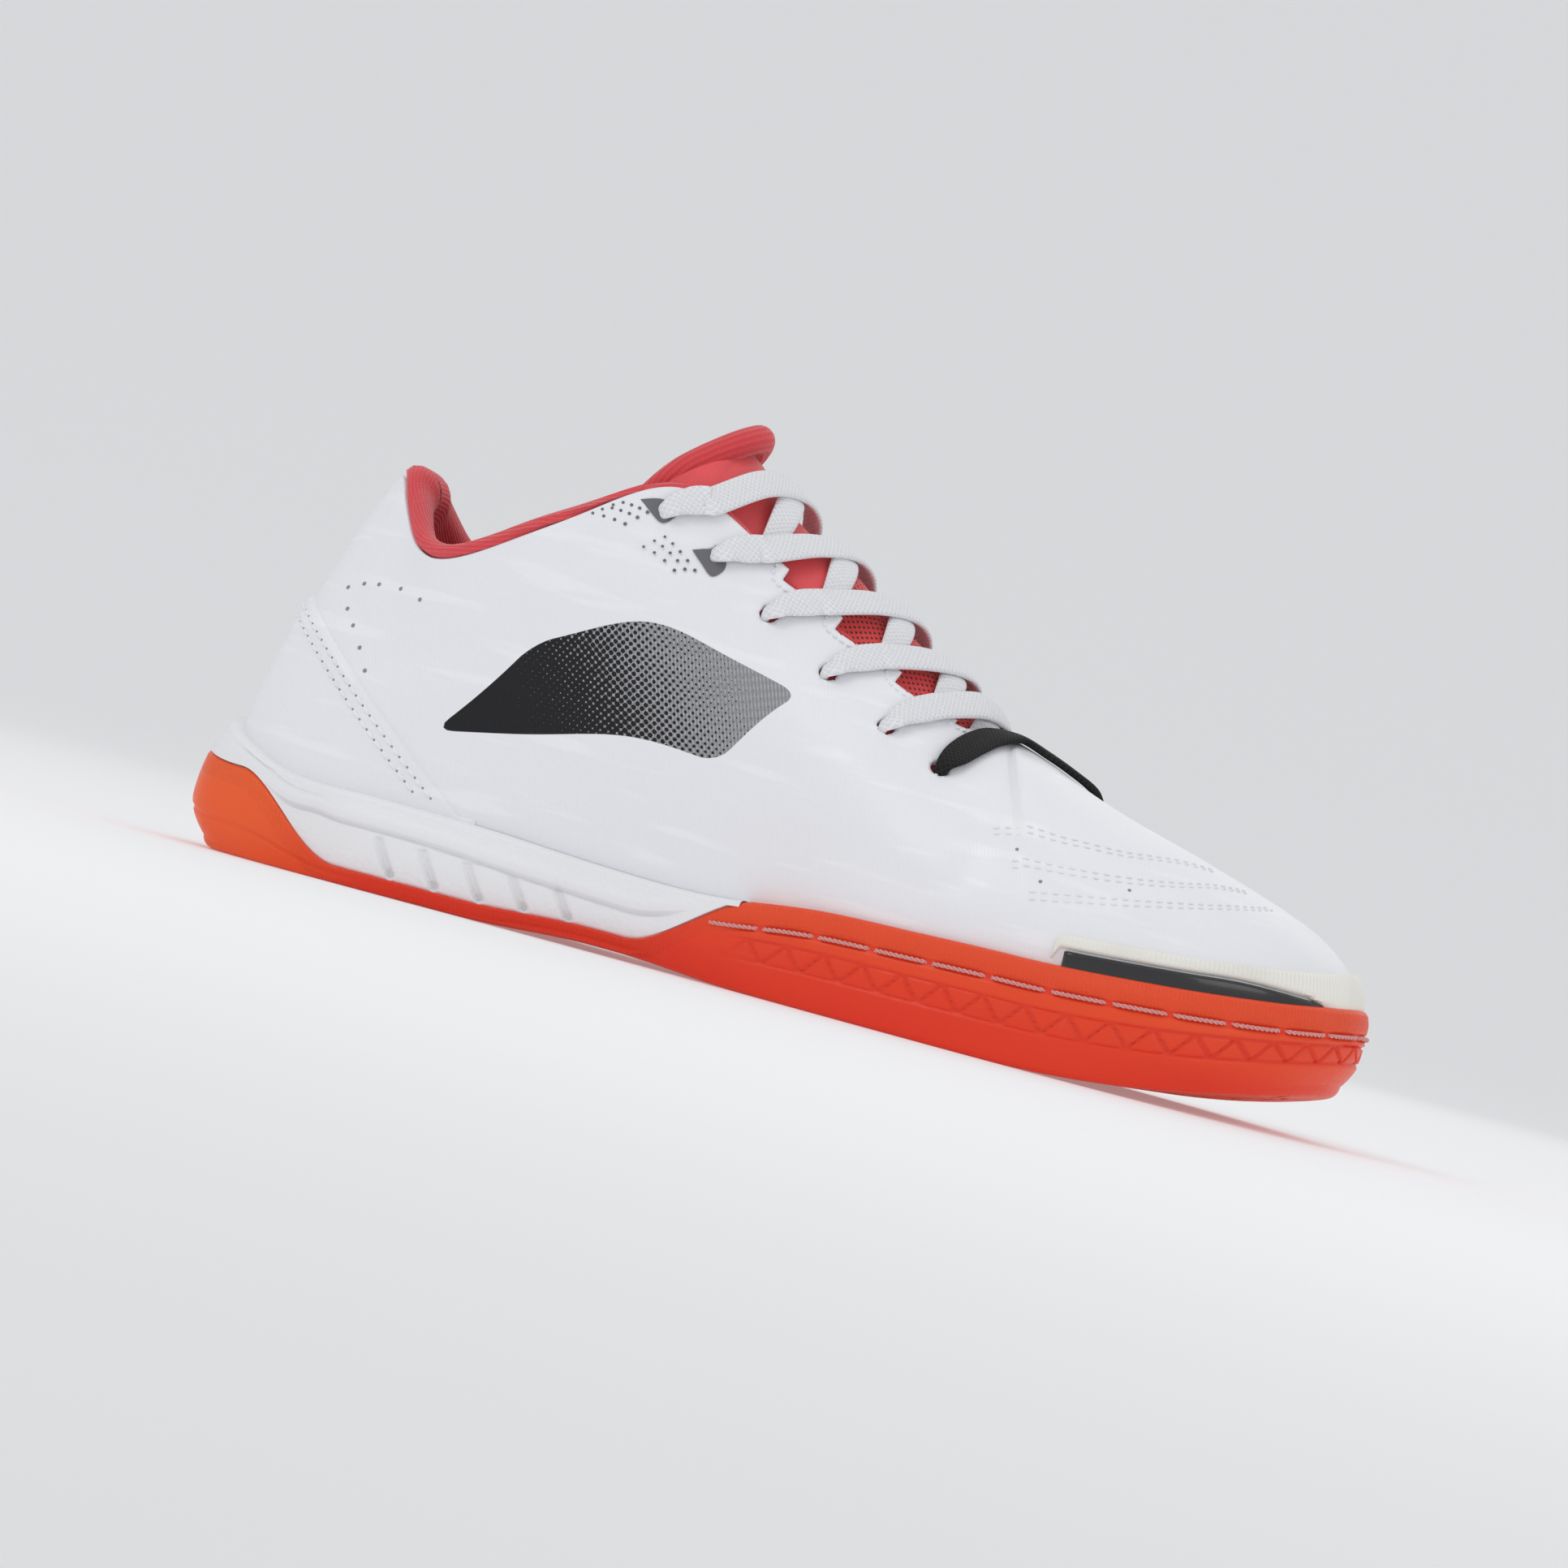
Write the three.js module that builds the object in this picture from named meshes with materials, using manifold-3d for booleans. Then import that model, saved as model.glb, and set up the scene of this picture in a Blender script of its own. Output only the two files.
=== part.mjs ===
// Indoor soccer shoe for the right foot, standing empty on its sole.
// Millimetres, +X to the toe, +Y to the inner side of the foot, +Z up.
import * as THREE from 'three';
import { mergeVertices } from 'three/addons/utils/BufferGeometryUtils.js';
import Module from 'manifold-3d';

const wasm = await Module();
wasm.setup();

// Sole
const LENGTH = 288;
const BALL_WIDTH = 105;
const HEEL_WIDTH = 77;
const TOE_SPRING = 13;
const ARCH_RISE = 5;
const HEEL_BEVEL = 3;
const PLATE = 4;
const WRAP = 2.2;
const SOLE_RIM = 25;
const HEEL_WRAP = 17;
const SIDE_TUCK = 10;
const SIDE_LEAN = 5;
const EDGE_ROUND = 1.5;
const HEEL_BED = 17.5;
const BALL_BED = 6.5;
const BAND_DEPTH = 0.6;
const PANEL_DEPTH = 0.9;
const RIB_DEPTH = 1.4;
const RIB_WIDTH = 2.6;
const RIB_COUNT = 5;
const TREAD_DEPTH = 1.5;
const TREAD_GROOVE = 2.4;

// Upper and what it holds
const WALL = 2;
const CLEAR = 0.3;
const UPPER_HEIGHT = 112;
const COLLAR_WIDTH = 70;
const TOE_SLOPE = -0.34;
const EYELETS = 6;
const EYELET_RADIUS = 2.6;
const INSOLE = 3.5;
const LINING_PAD = 5;
const LINING_ROLL = 4.5;
const COUNTER = 1;
const BUMPER = 1.5;
const BUMPER_HEIGHT = 8;
const STRIPE = 1;
const TONGUE = 3.5;
const TONGUE_TIP = 7;
const LACE_WIDTH = 6.5;
const LACE_THICK = 1.5;
const BAND_WIDTH = 6;

// How finely the shells are cut
const STEPS_PER_ROW = 3;
const RIB_STEPS = 6;
const CROSS_STEPS = 3;

// One row for each section from the heel tip to the toe tip. at is the share of LENGTH, ball says
// how far the section's width follows BALL_WIDTH rather than HEEL_WIDTH, outer and inner are the
// half widths as shares of that width, tuck and lean are shares of SIDE_TUCK and SIDE_LEAN, bulge is
// how high the side is widest as a share of its height, and rim is the height of the sole's side
// above the tread as a share of SOLE_RIM.
const SOLE_ROWS = [
  { at: 0.000, ball: 0.0, outer: 0.065, inner: -0.065, tuck: 0.70, lean: 0.95, bulge: 0.34, rim: 1.31 },
  { at: 0.014, ball: 0.0, outer: 0.325, inner: 0.208, tuck: 0.65, lean: 0.85, bulge: 0.35, rim: 1.25 },
  { at: 0.048, ball: 0.0, outer: 0.429, inner: 0.364, tuck: 0.55, lean: 0.55, bulge: 0.38, rim: 1.09 },
  { at: 0.104, ball: 0.0, outer: 0.487, inner: 0.468, tuck: 0.42, lean: 0.32, bulge: 0.45, rim: 0.90 },
  { at: 0.184, ball: 0.0, outer: 0.500, inner: 0.532, tuck: 0.40, lean: 0.30, bulge: 0.50, rim: 0.89 },
  { at: 0.278, ball: 0.2, outer: 0.454, inner: 0.490, tuck: 0.55, lean: 0.30, bulge: 0.50, rim: 0.87 },
  { at: 0.375, ball: 0.5, outer: 0.412, inner: 0.350, tuck: 0.65, lean: 0.30, bulge: 0.50, rim: 0.81 },
  { at: 0.472, ball: 0.8, outer: 0.412, inner: 0.290, tuck: 0.50, lean: 0.30, bulge: 0.50, rim: 0.80 },
  { at: 0.566, ball: 1.0, outer: 0.443, inner: 0.356, tuck: 0.25, lean: 0.30, bulge: 0.50, rim: 0.93 },
  { at: 0.653, ball: 1.0, outer: 0.481, inner: 0.476, tuck: 0.15, lean: 0.30, bulge: 0.50, rim: 0.97 },
  { at: 0.739, ball: 1.0, outer: 0.495, inner: 0.505, tuck: 0.10, lean: 0.30, bulge: 0.50, rim: 1.00 },
  { at: 0.827, ball: 1.0, outer: 0.471, inner: 0.476, tuck: 0.15, lean: 0.30, bulge: 0.50, rim: 0.99 },
  { at: 0.902, ball: 1.0, outer: 0.386, inner: 0.400, tuck: 0.28, lean: 0.30, bulge: 0.50, rim: 0.92 },
  { at: 0.959, ball: 1.0, outer: 0.257, inner: 0.276, tuck: 0.38, lean: 0.28, bulge: 0.50, rim: 0.84 },
  { at: 0.990, ball: 1.0, outer: 0.114, inner: 0.152, tuck: 0.42, lean: 0.25, bulge: 0.50, rim: 0.80 },
  { at: 1.000, ball: 1.0, outer: -0.019, inner: 0.019, tuck: 0.44, lean: 0.25, bulge: 0.50, rim: 0.79 },
];

// The upper's ribs stand on the same rows. at and high place the end of each rib as shares of
// LENGTH and UPPER_HEIGHT, outer and inner are the half widths of the opening as shares of
// COLLAR_WIDTH, and zero where the vamp is closed. rise, flare and crown are the handles of the
// rib's curve as shares of its chord, and slant is the angle of its end below the horizontal.
const UPPER_ROWS = [
  { at: 0.096, high: 0.880, outer: 0.043, inner: -0.043, rise: 0.33, flare: -0.06, crown: 0.33, slant: 64 },
  { at: 0.105, high: 0.866, outer: 0.143, inner: 0.110, rise: 0.33, flare: -0.04, crown: 0.33, slant: 66 },
  { at: 0.121, high: 0.806, outer: 0.243, inner: 0.229, rise: 0.33, flare: 0.00, crown: 0.33, slant: 72 },
  { at: 0.149, high: 0.728, outer: 0.365, inner: 0.350, rise: 0.33, flare: 0.03, crown: 0.33, slant: 80 },
  { at: 0.191, high: 0.730, outer: 0.463, inner: 0.450, rise: 0.33, flare: 0.05, crown: 0.33, slant: 86 },
  { at: 0.271, high: 0.857, outer: 0.495, inner: 0.475, rise: 0.33, flare: 0.04, crown: 0.33, slant: 86 },
  { at: 0.352, high: 0.995, outer: 0.385, inner: 0.385, rise: 0.35, flare: 0.03, crown: 0.33, slant: 66 },
  { at: 0.437, high: 0.905, outer: 0.310, inner: 0.310, rise: 0.36, flare: 0.02, crown: 0.35, slant: 52 },
  { at: 0.535, high: 0.778, outer: 0.295, inner: 0.295, rise: 0.36, flare: 0.00, crown: 0.36, slant: 43 },
  { at: 0.620, high: 0.664, outer: 0.260, inner: 0.260, rise: 0.36, flare: 0.00, crown: 0.34, slant: 34 },
  { at: 0.662, high: 0.655, outer: 0.000, inner: 0.000, rise: 0.34, flare: 0.00, crown: 0.32, slant: 8 },
  { at: 0.746, high: 0.575, outer: 0.000, inner: 0.000, rise: 0.34, flare: 0.00, crown: 0.34, slant: 0 },
  { at: 0.820, high: 0.522, outer: 0.000, inner: 0.000, rise: 0.34, flare: -0.01, crown: 0.38, slant: 0 },
  { at: 0.871, high: 0.486, outer: 0.000, inner: 0.000, rise: 0.32, flare: -0.02, crown: 0.40, slant: 0 },
  { at: 0.899, high: 0.463, outer: 0.000, inner: 0.000, rise: 0.30, flare: -0.04, crown: 0.42, slant: 0 },
  { at: 0.913, high: 0.450, outer: 0.000, inner: 0.000, rise: 0.29, flare: -0.05, crown: 0.42, slant: 0 },
];
const LAST_ROW = SOLE_ROWS.length - 1;

const smooth = (low, high, value) => THREE.MathUtils.smoothstep(value, low, high);

// A column of a table as a closed loop: down the outer side to the toe, back along the inner side.
function loop(rows, outer, inner = outer) {
  const down = rows.map(outer);
  const back = rows.map(inner).slice(1, -1).reverse();
  return [...down, ...back];
}

// The value of a loop at row r, where rows 0 to LAST_ROW run down the outer side and the rows after
// that run back up the inner side. The curve through the rows is a Catmull-Rom spline.
function around(values, r) {
  const count = values.length;
  const first = Math.floor(r);
  const f = r - first;
  const [a, b, c, d] = [-1, 0, 1, 2].map((k) => values[(first + k + 2 * count) % count]);
  return 0.5 * (2 * b + (c - a) * f + (2 * a - 5 * b + 4 * c - d) * f * f
    + (3 * b - a - 3 * c + d) * f * f * f);
}

const rowWidth = (row) => THREE.MathUtils.lerp(HEEL_WIDTH, BALL_WIDTH, row.ball);
const PLAN = {
  x: loop(SOLE_ROWS, (row) => row.at * LENGTH),
  y: loop(SOLE_ROWS, (row) => -row.outer * rowWidth(row), (row) => row.inner * rowWidth(row)),
  tuck: loop(SOLE_ROWS, (row) => row.tuck * SIDE_TUCK),
  lean: loop(SOLE_ROWS, (row) => row.lean * SIDE_LEAN),
  bulge: loop(SOLE_ROWS, (row) => row.bulge),
  rim: loop(SOLE_ROWS, (row) => row.rim * SOLE_RIM),
};
const RIB = {
  x: loop(UPPER_ROWS, (row) => row.at * LENGTH),
  z: loop(UPPER_ROWS, (row) => row.high * UPPER_HEIGHT),
  y: loop(UPPER_ROWS, (row) => -row.outer * COLLAR_WIDTH, (row) => row.inner * COLLAR_WIDTH),
  rise: loop(UPPER_ROWS, (row) => row.rise),
  flare: loop(UPPER_ROWS, (row) => row.flare),
  crown: loop(UPPER_ROWS, (row) => row.crown),
  slant: loop(UPPER_ROWS, (row) => row.slant),
};
const ROW_COUNT = PLAN.x.length;
const CLOSED_ROW = UPPER_ROWS.findIndex((row) => row.outer === 0);
const opposite = (r) => (2 * ROW_COUNT - r) % ROW_COUNT;
const isClosed = (r) => Math.abs(opposite(r) - ROW_COUNT / 2) <= ROW_COUNT / 2 - CLOSED_ROW;

// The sole's heights. The tread lies on the floor at the heel and under the ball.
const toeLift = (x) => TOE_SPRING * Math.max(0, (x / LENGTH - 0.74) / 0.26) ** 2;
function treadZ(x, y) {
  const at = x / LENGTH;
  const arch = smooth(0.27, 0.38, at) * (1 - smooth(0.40, 0.52, at));
  const side = THREE.MathUtils.lerp(0.3, 1, smooth(-0.3 * BALL_WIDTH, 0.2 * BALL_WIDTH, y));
  const bevel = HEEL_BEVEL * Math.max(0, 1 - at / 0.05) ** 2;
  return ARCH_RISE * arch * side + bevel + toeLift(x);
}
const bedZ = (x) => THREE.MathUtils.lerp(HEEL_BED, BALL_BED, smooth(0.2, 0.62, x / LENGTH)) + toeLift(x);
// The foam ends on the section at FOAM_END_ROW, and the rubber is solid from the next section on.
const FOAM_END_ROW = 22 / 3;
const FOAM_END = 0.52;
const hasFoam = (x) => x < FOAM_END * LENGTH;

// A point of the plan outline, moved in by inset.
function planPoint(r, inset) {
  const h = 0.01;
  const [x, y] = [around(PLAN.x, r), around(PLAN.y, r)];
  const dx = around(PLAN.x, r + h) - around(PLAN.x, r - h);
  const dy = around(PLAN.y, r + h) - around(PLAN.y, r - h);
  const length = Math.hypot(dx, dy);
  return new THREE.Vector3(x - (dy / length) * inset, y + (dx / length) * inset, 0);
}
const outward = (r) => planPoint(r, -1).sub(planPoint(r, 0));
// The row whose section crosses the plan outline at x, on the outer side (1) or the inner side (-1).
function rowAt(x, side) {
  let [low, high] = [0, LAST_ROW];
  for (let i = 0; i < 30; i += 1) {
    const middle = (low + high) / 2;
    if (around(PLAN.x, middle) < x) low = middle;
    else high = middle;
  }
  return side > 0 ? low : opposite(low);
}

const rimZ = (r) => around(PLAN.rim, r) + toeLift(around(PLAN.x, r));
// How far the sole's side stands in from the plan outline at height z.
function sideInset(r, z) {
  const bulge = around(PLAN.bulge, r);
  const low = treadZ(around(PLAN.x, r), around(PLAN.y, r));
  const h = THREE.MathUtils.clamp((z - low) / (rimZ(r) - low), 0, 1);
  if (h < bulge) return around(PLAN.tuck, r) * (1 - h / bulge) ** 2;
  return around(PLAN.lean, r) * ((h - bulge) / (1 - bulge)) ** 2;
}
const plateZ = (r) => treadZ(around(PLAN.x, r), around(PLAN.y, r)) + PLATE;
// The height of the rubber on the side: it wraps the heel and, from the arch on, the forefoot.
function wrapZ(r) {
  const at = around(PLAN.x, r) / LENGTH;
  const heel = plateZ(r) + HEEL_WRAP * (1 - smooth(0.055, 0.16, at));
  return THREE.MathUtils.lerp(heel, rimZ(r), smooth(0.41, 0.515, at));
}
// How far in from the side the upper is seated, and how thick the rubber wall is.
function seatInset(r) {
  const at = around(PLAN.x, r) / LENGTH;
  const foam = THREE.MathUtils.lerp(WRAP + CLEAR + 1.8, WRAP + 0.3, smooth(0.50, 0.62, at));
  return Math.max(sideInset(r, rimZ(r)), sideInset(r, bedZ(around(PLAN.x, r)))) + foam;
}
function wrapInset(r, z) {
  return hasFoam(around(PLAN.x, r)) ? sideInset(r, z) + WRAP : seatInset(r);
}

function bodyFrom(positions) {
  const plain = new THREE.BufferGeometry();
  plain.setAttribute('position', new THREE.Float32BufferAttribute(positions, 3));
  const merged = mergeVertices(plain, 1e-3);
  const index = merged.index.array;
  const kept = [];
  for (let i = 0; i < index.length; i += 3) {
    const [a, b, c] = [index[i], index[i + 1], index[i + 2]];
    if (a !== b && b !== c && c !== a) kept.push(a, b, c);
  }
  merged.setIndex(kept);
  if (signedVolume(merged) < 0) {
    for (let i = 0; i < kept.length; i += 3) [kept[i], kept[i + 1]] = [kept[i + 1], kept[i]];
    merged.setIndex(kept);
  }
  return merged;
}
function signedVolume(geometry) {
  const place = geometry.attributes.position;
  const index = geometry.index.array;
  const [a, b, c] = [0, 1, 2].map(() => new THREE.Vector3());
  let sum = 0;
  for (let i = 0; i < index.length; i += 3) {
    a.fromBufferAttribute(place, index[i]);
    b.fromBufferAttribute(place, index[i + 1]);
    c.fromBufferAttribute(place, index[i + 2]);
    sum += a.dot(b.cross(c)) / 6;
  }
  return sum;
}
// Two triangles. The split follows the shorter diagonal, or the lower one where they are as long as
// each other, so that two shells that face each other are split alike.
const SAME_LENGTH = 0.5;
function pushQuad(out, a, b, c, d) {
  const [first, second] = [a.distanceTo(c), b.distanceTo(d)];
  const rise = a.z + c.z - b.z - d.z;
  const isWarped = Math.abs(first - second) < SAME_LENGTH && Math.abs(rise) > 0.2;
  const isFirst = isWarped ? rise < 0 : first <= second + 0.05;
  const corners = isFirst ? [a, b, c, a, c, d] : [b, c, d, b, d, a];
  for (const p of corners) out.push(p.x, p.y, p.z);
}
function pushFlat(out, points, flip) {
  const section = points.filter((p, i) => p.distanceTo(points.at(i - 1)) > 1e-3);
  const u = new THREE.Vector3().subVectors(section[1], section[0]).normalize();
  const n = new THREE.Vector3();
  for (let i = 0; i < section.length; i += 1) {
    n.add(new THREE.Vector3().crossVectors(section[i], section[(i + 1) % section.length]));
  }
  const v = new THREE.Vector3().crossVectors(n.normalize(), u);
  const flat = section.map((p) => new THREE.Vector2(p.dot(u), p.dot(v)));
  for (const [a, b, c] of THREE.ShapeUtils.triangulateShape(flat, [])) {
    for (const k of flip ? [a, c, b] : [a, b, c]) out.push(section[k].x, section[k].y, section[k].z);
  }
}
const isPoint = (section) => section.every((p) => Math.abs(p.y - section[0].y) < 1e-3
  && Math.abs(p.x - section[0].x) < 1e-3);
// A solid through closed sections with the same number of points.
function loft(sections) {
  const out = [];
  const count = sections[0].length;
  for (let i = 0; i < sections.length - 1; i += 1) {
    const next = sections[i + 1];
    for (let k = 0; k < count; k += 1) {
      const m = (k + 1) % count;
      pushQuad(out, sections[i][k], sections[i][m], next[m], next[k]);
    }
  }
  if (!isPoint(sections[0])) pushFlat(out, sections[0], true);
  if (!isPoint(sections.at(-1))) pushFlat(out, sections.at(-1), false);
  return bodyFrom(out);
}

function toManifold(geometry) {
  const vertProperties = new Float32Array(geometry.attributes.position.array);
  const triVerts = new Uint32Array(geometry.index.array);
  return new wasm.Manifold(new wasm.Mesh({ numProp: 3, vertProperties, triVerts }));
}
function fromManifold(solid) {
  const { vertProperties, triVerts } = solid.getMesh();
  const geometry = new THREE.BufferGeometry();
  geometry.setAttribute('position', new THREE.Float32BufferAttribute(vertProperties, 3));
  geometry.setIndex(Array.from(triVerts));
  return geometry;
}
function welded(geometry) {
  geometry.deleteAttribute('normal');
  geometry.deleteAttribute('uv');
  return mergeVertices(geometry, 1e-3);
}
const cut = (body, tools) => (
  fromManifold(tools.reduce((rest, tool) => rest.subtract(toManifold(tool)), toManifold(body))));
const join = (bodies) => fromManifold(bodies.map(toManifold).reduce((sum, part) => sum.add(part)));

const shoe = new THREE.Group();
shoe.name = 'indoor_soccer_shoe';
function addPart(name, geometry, color, roughness) {
  geometry.computeVertexNormals();
  const material = new THREE.MeshStandardMaterial({ color, roughness, metalness: 0 });
  const mesh = new THREE.Mesh(geometry, material);
  mesh.name = name;
  shoe.add(mesh);
}

// The rows at which a section is taken, from one row to another.
function stations(from, to, perRow = STEPS_PER_ROW) {
  const steps = Math.max(1, Math.round((to - from) * perRow));
  return Array.from({ length: steps + 1 }, (_, i) => from + ((to - from) * i) / steps);
}
// Points straight across the shoe between two ends, at the height that the function gives.
function across(start, end, height, steps) {
  return Array.from({ length: steps + 1 }, (_, k) => {
    const p = new THREE.Vector3().lerpVectors(start, end, k / steps);
    p.z = height(p.x, p.y);
    return p;
  });
}
const levelPoint = (r, inset, z) => planPoint(r, inset).setZ(z);

// Both sides of a sole section: a profile is a function of the row that gives its points from the
// tread up and over to the inside.
function soleSection(r, profile, bottomZ, topZ, bottomSteps = 1) {
  const outerSide = profile(r);
  const innerSide = profile(opposite(r));
  const bottom = across(outerSide[0], innerSide[0], bottomZ, bottomSteps);
  const top = across(innerSide.at(-1), outerSide.at(-1), topZ, 1);
  return [...bottom, ...innerSide.slice(1, -1), ...top, ...outerSide.slice(1, -1).reverse()];
}

// The side has a shallow sunk band round the forefoot. share is the height on the side, sunk says
// whether the band holds that level.
const SIDE_LEVELS = [
  { share: 0.29, sunk: 0 },
  { share: 0.33, sunk: 1 },
  { share: 0.55, sunk: 1 },
  { share: 0.59, sunk: 0 },
  { share: 0.85, sunk: 0 },
];
function outsoleProfile(r) {
  const tread = planPoint(r, sideInset(r, 0) + EDGE_ROUND);
  tread.z = treadZ(tread.x, tread.y);
  const low = plateZ(r) - PLATE + EDGE_ROUND;
  const high = wrapZ(r);
  const band = BAND_DEPTH * smooth(0.49, 0.53, around(PLAN.x, r) / LENGTH);
  const floor = hasFoam(around(PLAN.x, r)) ? plateZ(r) : bedZ(around(PLAN.x, r));
  return [
    tread,
    levelPoint(r, sideInset(r, low), low),
    ...SIDE_LEVELS.map(({ share, sunk }) => {
      const z = THREE.MathUtils.lerp(low, high, share);
      return levelPoint(r, sideInset(r, z) + sunk * band, z);
    }),
    levelPoint(r, sideInset(r, high) + 0.5, high),
    levelPoint(r, wrapInset(r, high), high),
    levelPoint(r, wrapInset(r, floor), Math.min(floor, high)),
  ];
}
function outsoleBody() {
  const floorZ = (x, y) => (hasFoam(x) ? treadZ(x, y) + PLATE : bedZ(x));
  return loft(stations(0, LAST_ROW).map((r) => soleSection(r, outsoleProfile, treadZ, floorZ, CROSS_STEPS)));
}

// The foam's side is a rounded rim over a panel that is set in between heel and arch.
const FOAM_LEVELS = [
  { share: 0.30, set: 1 },
  { share: 0.60, set: 1 },
  { share: 0.67, set: 0 },
];
function midsoleProfile(r) {
  const low = plateZ(r) + CLEAR;
  const wrap = Math.max(wrapZ(r), low);
  const high = rimZ(r);
  const at = around(PLAN.x, r) / LENGTH;
  const bed = bedZ(around(PLAN.x, r));
  const hidden = (z) => sideInset(r, z) + WRAP + CLEAR;
  const inside = seatInset(r);
  const bottom = levelPoint(r, hidden(plateZ(r)), low);
  const start = wrapZ(r) > low ? Math.min(wrap + CLEAR, high) : low;
  const round = Math.min(0.3, (high - start) / 4);
  const panel = PANEL_DEPTH * smooth(0.12, 0.17, at) * (1 - smooth(0.38, 0.43, at));
  return [
    bottom,
    bottom,
    levelPoint(r, hidden(wrap), wrap),
    levelPoint(r, sideInset(r, start), start),
    ...FOAM_LEVELS.map(({ share, set }) => {
      const z = THREE.MathUtils.lerp(start, high, share);
      return levelPoint(r, sideInset(r, z) + set * panel, z);
    }),
    levelPoint(r, sideInset(r, high) + round, high - round),
    levelPoint(r, sideInset(r, high) + 1, high),
    levelPoint(r, inside, high),
    levelPoint(r, inside, bed),
  ];
}
function slotTool(x, side) {
  const height = SOLE_RIM;
  const slot = new THREE.BoxGeometry(RIB_WIDTH, 2 * RIB_DEPTH, 0.42 * height);
  const r = rowAt(x, side);
  const z = plateZ(r) + 0.34 * (rimZ(r) - plateZ(r));
  const place = levelPoint(r, sideInset(r, z) + PANEL_DEPTH, z);
  const out = outward(r);
  slot.rotateY(-0.32);
  slot.rotateZ(Math.atan2(out.y, out.x) + (Math.PI / 2) * side);
  slot.translate(place.x, place.y, place.z);
  return welded(slot);
}
function midsoleBody() {
  const low = (x, y) => treadZ(x, y) + PLATE + CLEAR;
  const body = loft(stations(0, FOAM_END_ROW).map((r) => soleSection(r, midsoleProfile, low, bedZ)));
  const slots = [];
  for (let i = 0; i < RIB_COUNT; i += 1) {
    const x = LENGTH * THREE.MathUtils.lerp(0.20, 0.355, i / (RIB_COUNT - 1));
    slots.push(slotTool(x, 1), slotTool(x, -1));
  }
  return cut(body, slots);
}

// The upper. A rib starts upright inside the rim of the sole and curves over to the top line.
function rib(r) {
  const seat = planPoint(r, seatInset(r) + CLEAR);
  const foot = seat.clone().setZ(rimZ(r) + CLEAR);
  const base = seat.clone().setZ(bedZ(seat.x) + CLEAR);
  const half = isClosed(r) ? 0 : around(RIB.y, r);
  const top = new THREE.Vector3(around(RIB.x, r), half, around(RIB.z, r));
  const out = outward(r);
  const chord = foot.distanceTo(top);
  const start = foot.clone().addScaledVector(out, around(RIB.flare, r) * chord);
  start.z += around(RIB.rise, r) * chord;
  const slant = THREE.MathUtils.degToRad(isClosed(r) ? 0 : around(RIB.slant, r));
  const reach = around(RIB.crown, r) * chord;
  const end = top.clone().addScaledVector(out, Math.cos(slant) * reach);
  end.z += TOE_SLOPE * out.x * Math.cos(slant) * reach - Math.sin(slant) * reach;
  return { base, curve: new THREE.CubicBezierCurve3(foot, start, end, top) };
}
const upperPoint = (r, v) => rib(r).curve.getPoint(v);
function upperNormal(r, v) {
  const h = 0.02;
  if (v > 0.999 && isClosed(r)) {
    const [a, b] = [around(RIB.x, r - h), around(RIB.x, r + h)];
    const rise = around(RIB.z, r + h) - around(RIB.z, r - h);
    const slope = Math.abs(b - a) < 0.02 ? TOE_SLOPE : rise / (b - a);
    return new THREE.Vector3(-slope, 0, 1).normalize();
  }
  const w = THREE.MathUtils.clamp(v, h, 0.95);
  const along = upperPoint(r + h, w).sub(upperPoint(r - h, w));
  const up = upperPoint(r, w + h).sub(upperPoint(r, w - h));
  return new THREE.Vector3().crossVectors(along, up).normalize();
}
// A point at a distance outside the upper's outer face, or inside it where the distance is negative.
const skin = (r, v, distance) => upperPoint(r, v).addScaledVector(upperNormal(r, v), distance);

function upperBody() {
  const count = ROW_COUNT * STEPS_PER_ROW;
  const rows = Array.from({ length: count }, (_, i) => i / STEPS_PER_ROW);
  const shares = Array.from({ length: RIB_STEPS + 1 }, (_, j) => j / RIB_STEPS);
  const outer = rows.map((r) => [rib(r).base, ...shares.map((v) => upperPoint(r, v))]);
  const inner = rows.map((r) => [
    rib(r).base.addScaledVector(outward(r), -WALL),
    ...shares.map((v) => skin(r, v, -WALL)),
  ]);
  const out = [];
  const last = RIB_STEPS + 1;
  for (let i = 0; i < count; i += 1) {
    const next = (i + 1) % count;
    for (let j = 0; j < last; j += 1) {
      pushQuad(out, outer[i][j], outer[next][j], outer[next][j + 1], outer[i][j + 1]);
      pushQuad(out, inner[i][j + 1], inner[next][j + 1], inner[next][j], inner[i][j]);
    }
    pushQuad(out, inner[i][0], inner[next][0], outer[next][0], outer[i][0]);
    if (!(isClosed(rows[i]) && isClosed(rows[next]))) {
      pushQuad(out, outer[i][last], outer[next][last], inner[next][last], inner[i][last]);
    }
  }
  return bodyFrom(out);
}

// The share of a rib at which it passes the height that the function gives for its point.
function shareAt(r, height) {
  let [low, high] = [0, 1];
  for (let i = 0; i < 24; i += 1) {
    const middle = (low + high) / 2;
    const p = upperPoint(r, middle);
    if (p.z < height(p)) low = middle;
    else high = middle;
  }
  return low;
}

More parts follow.
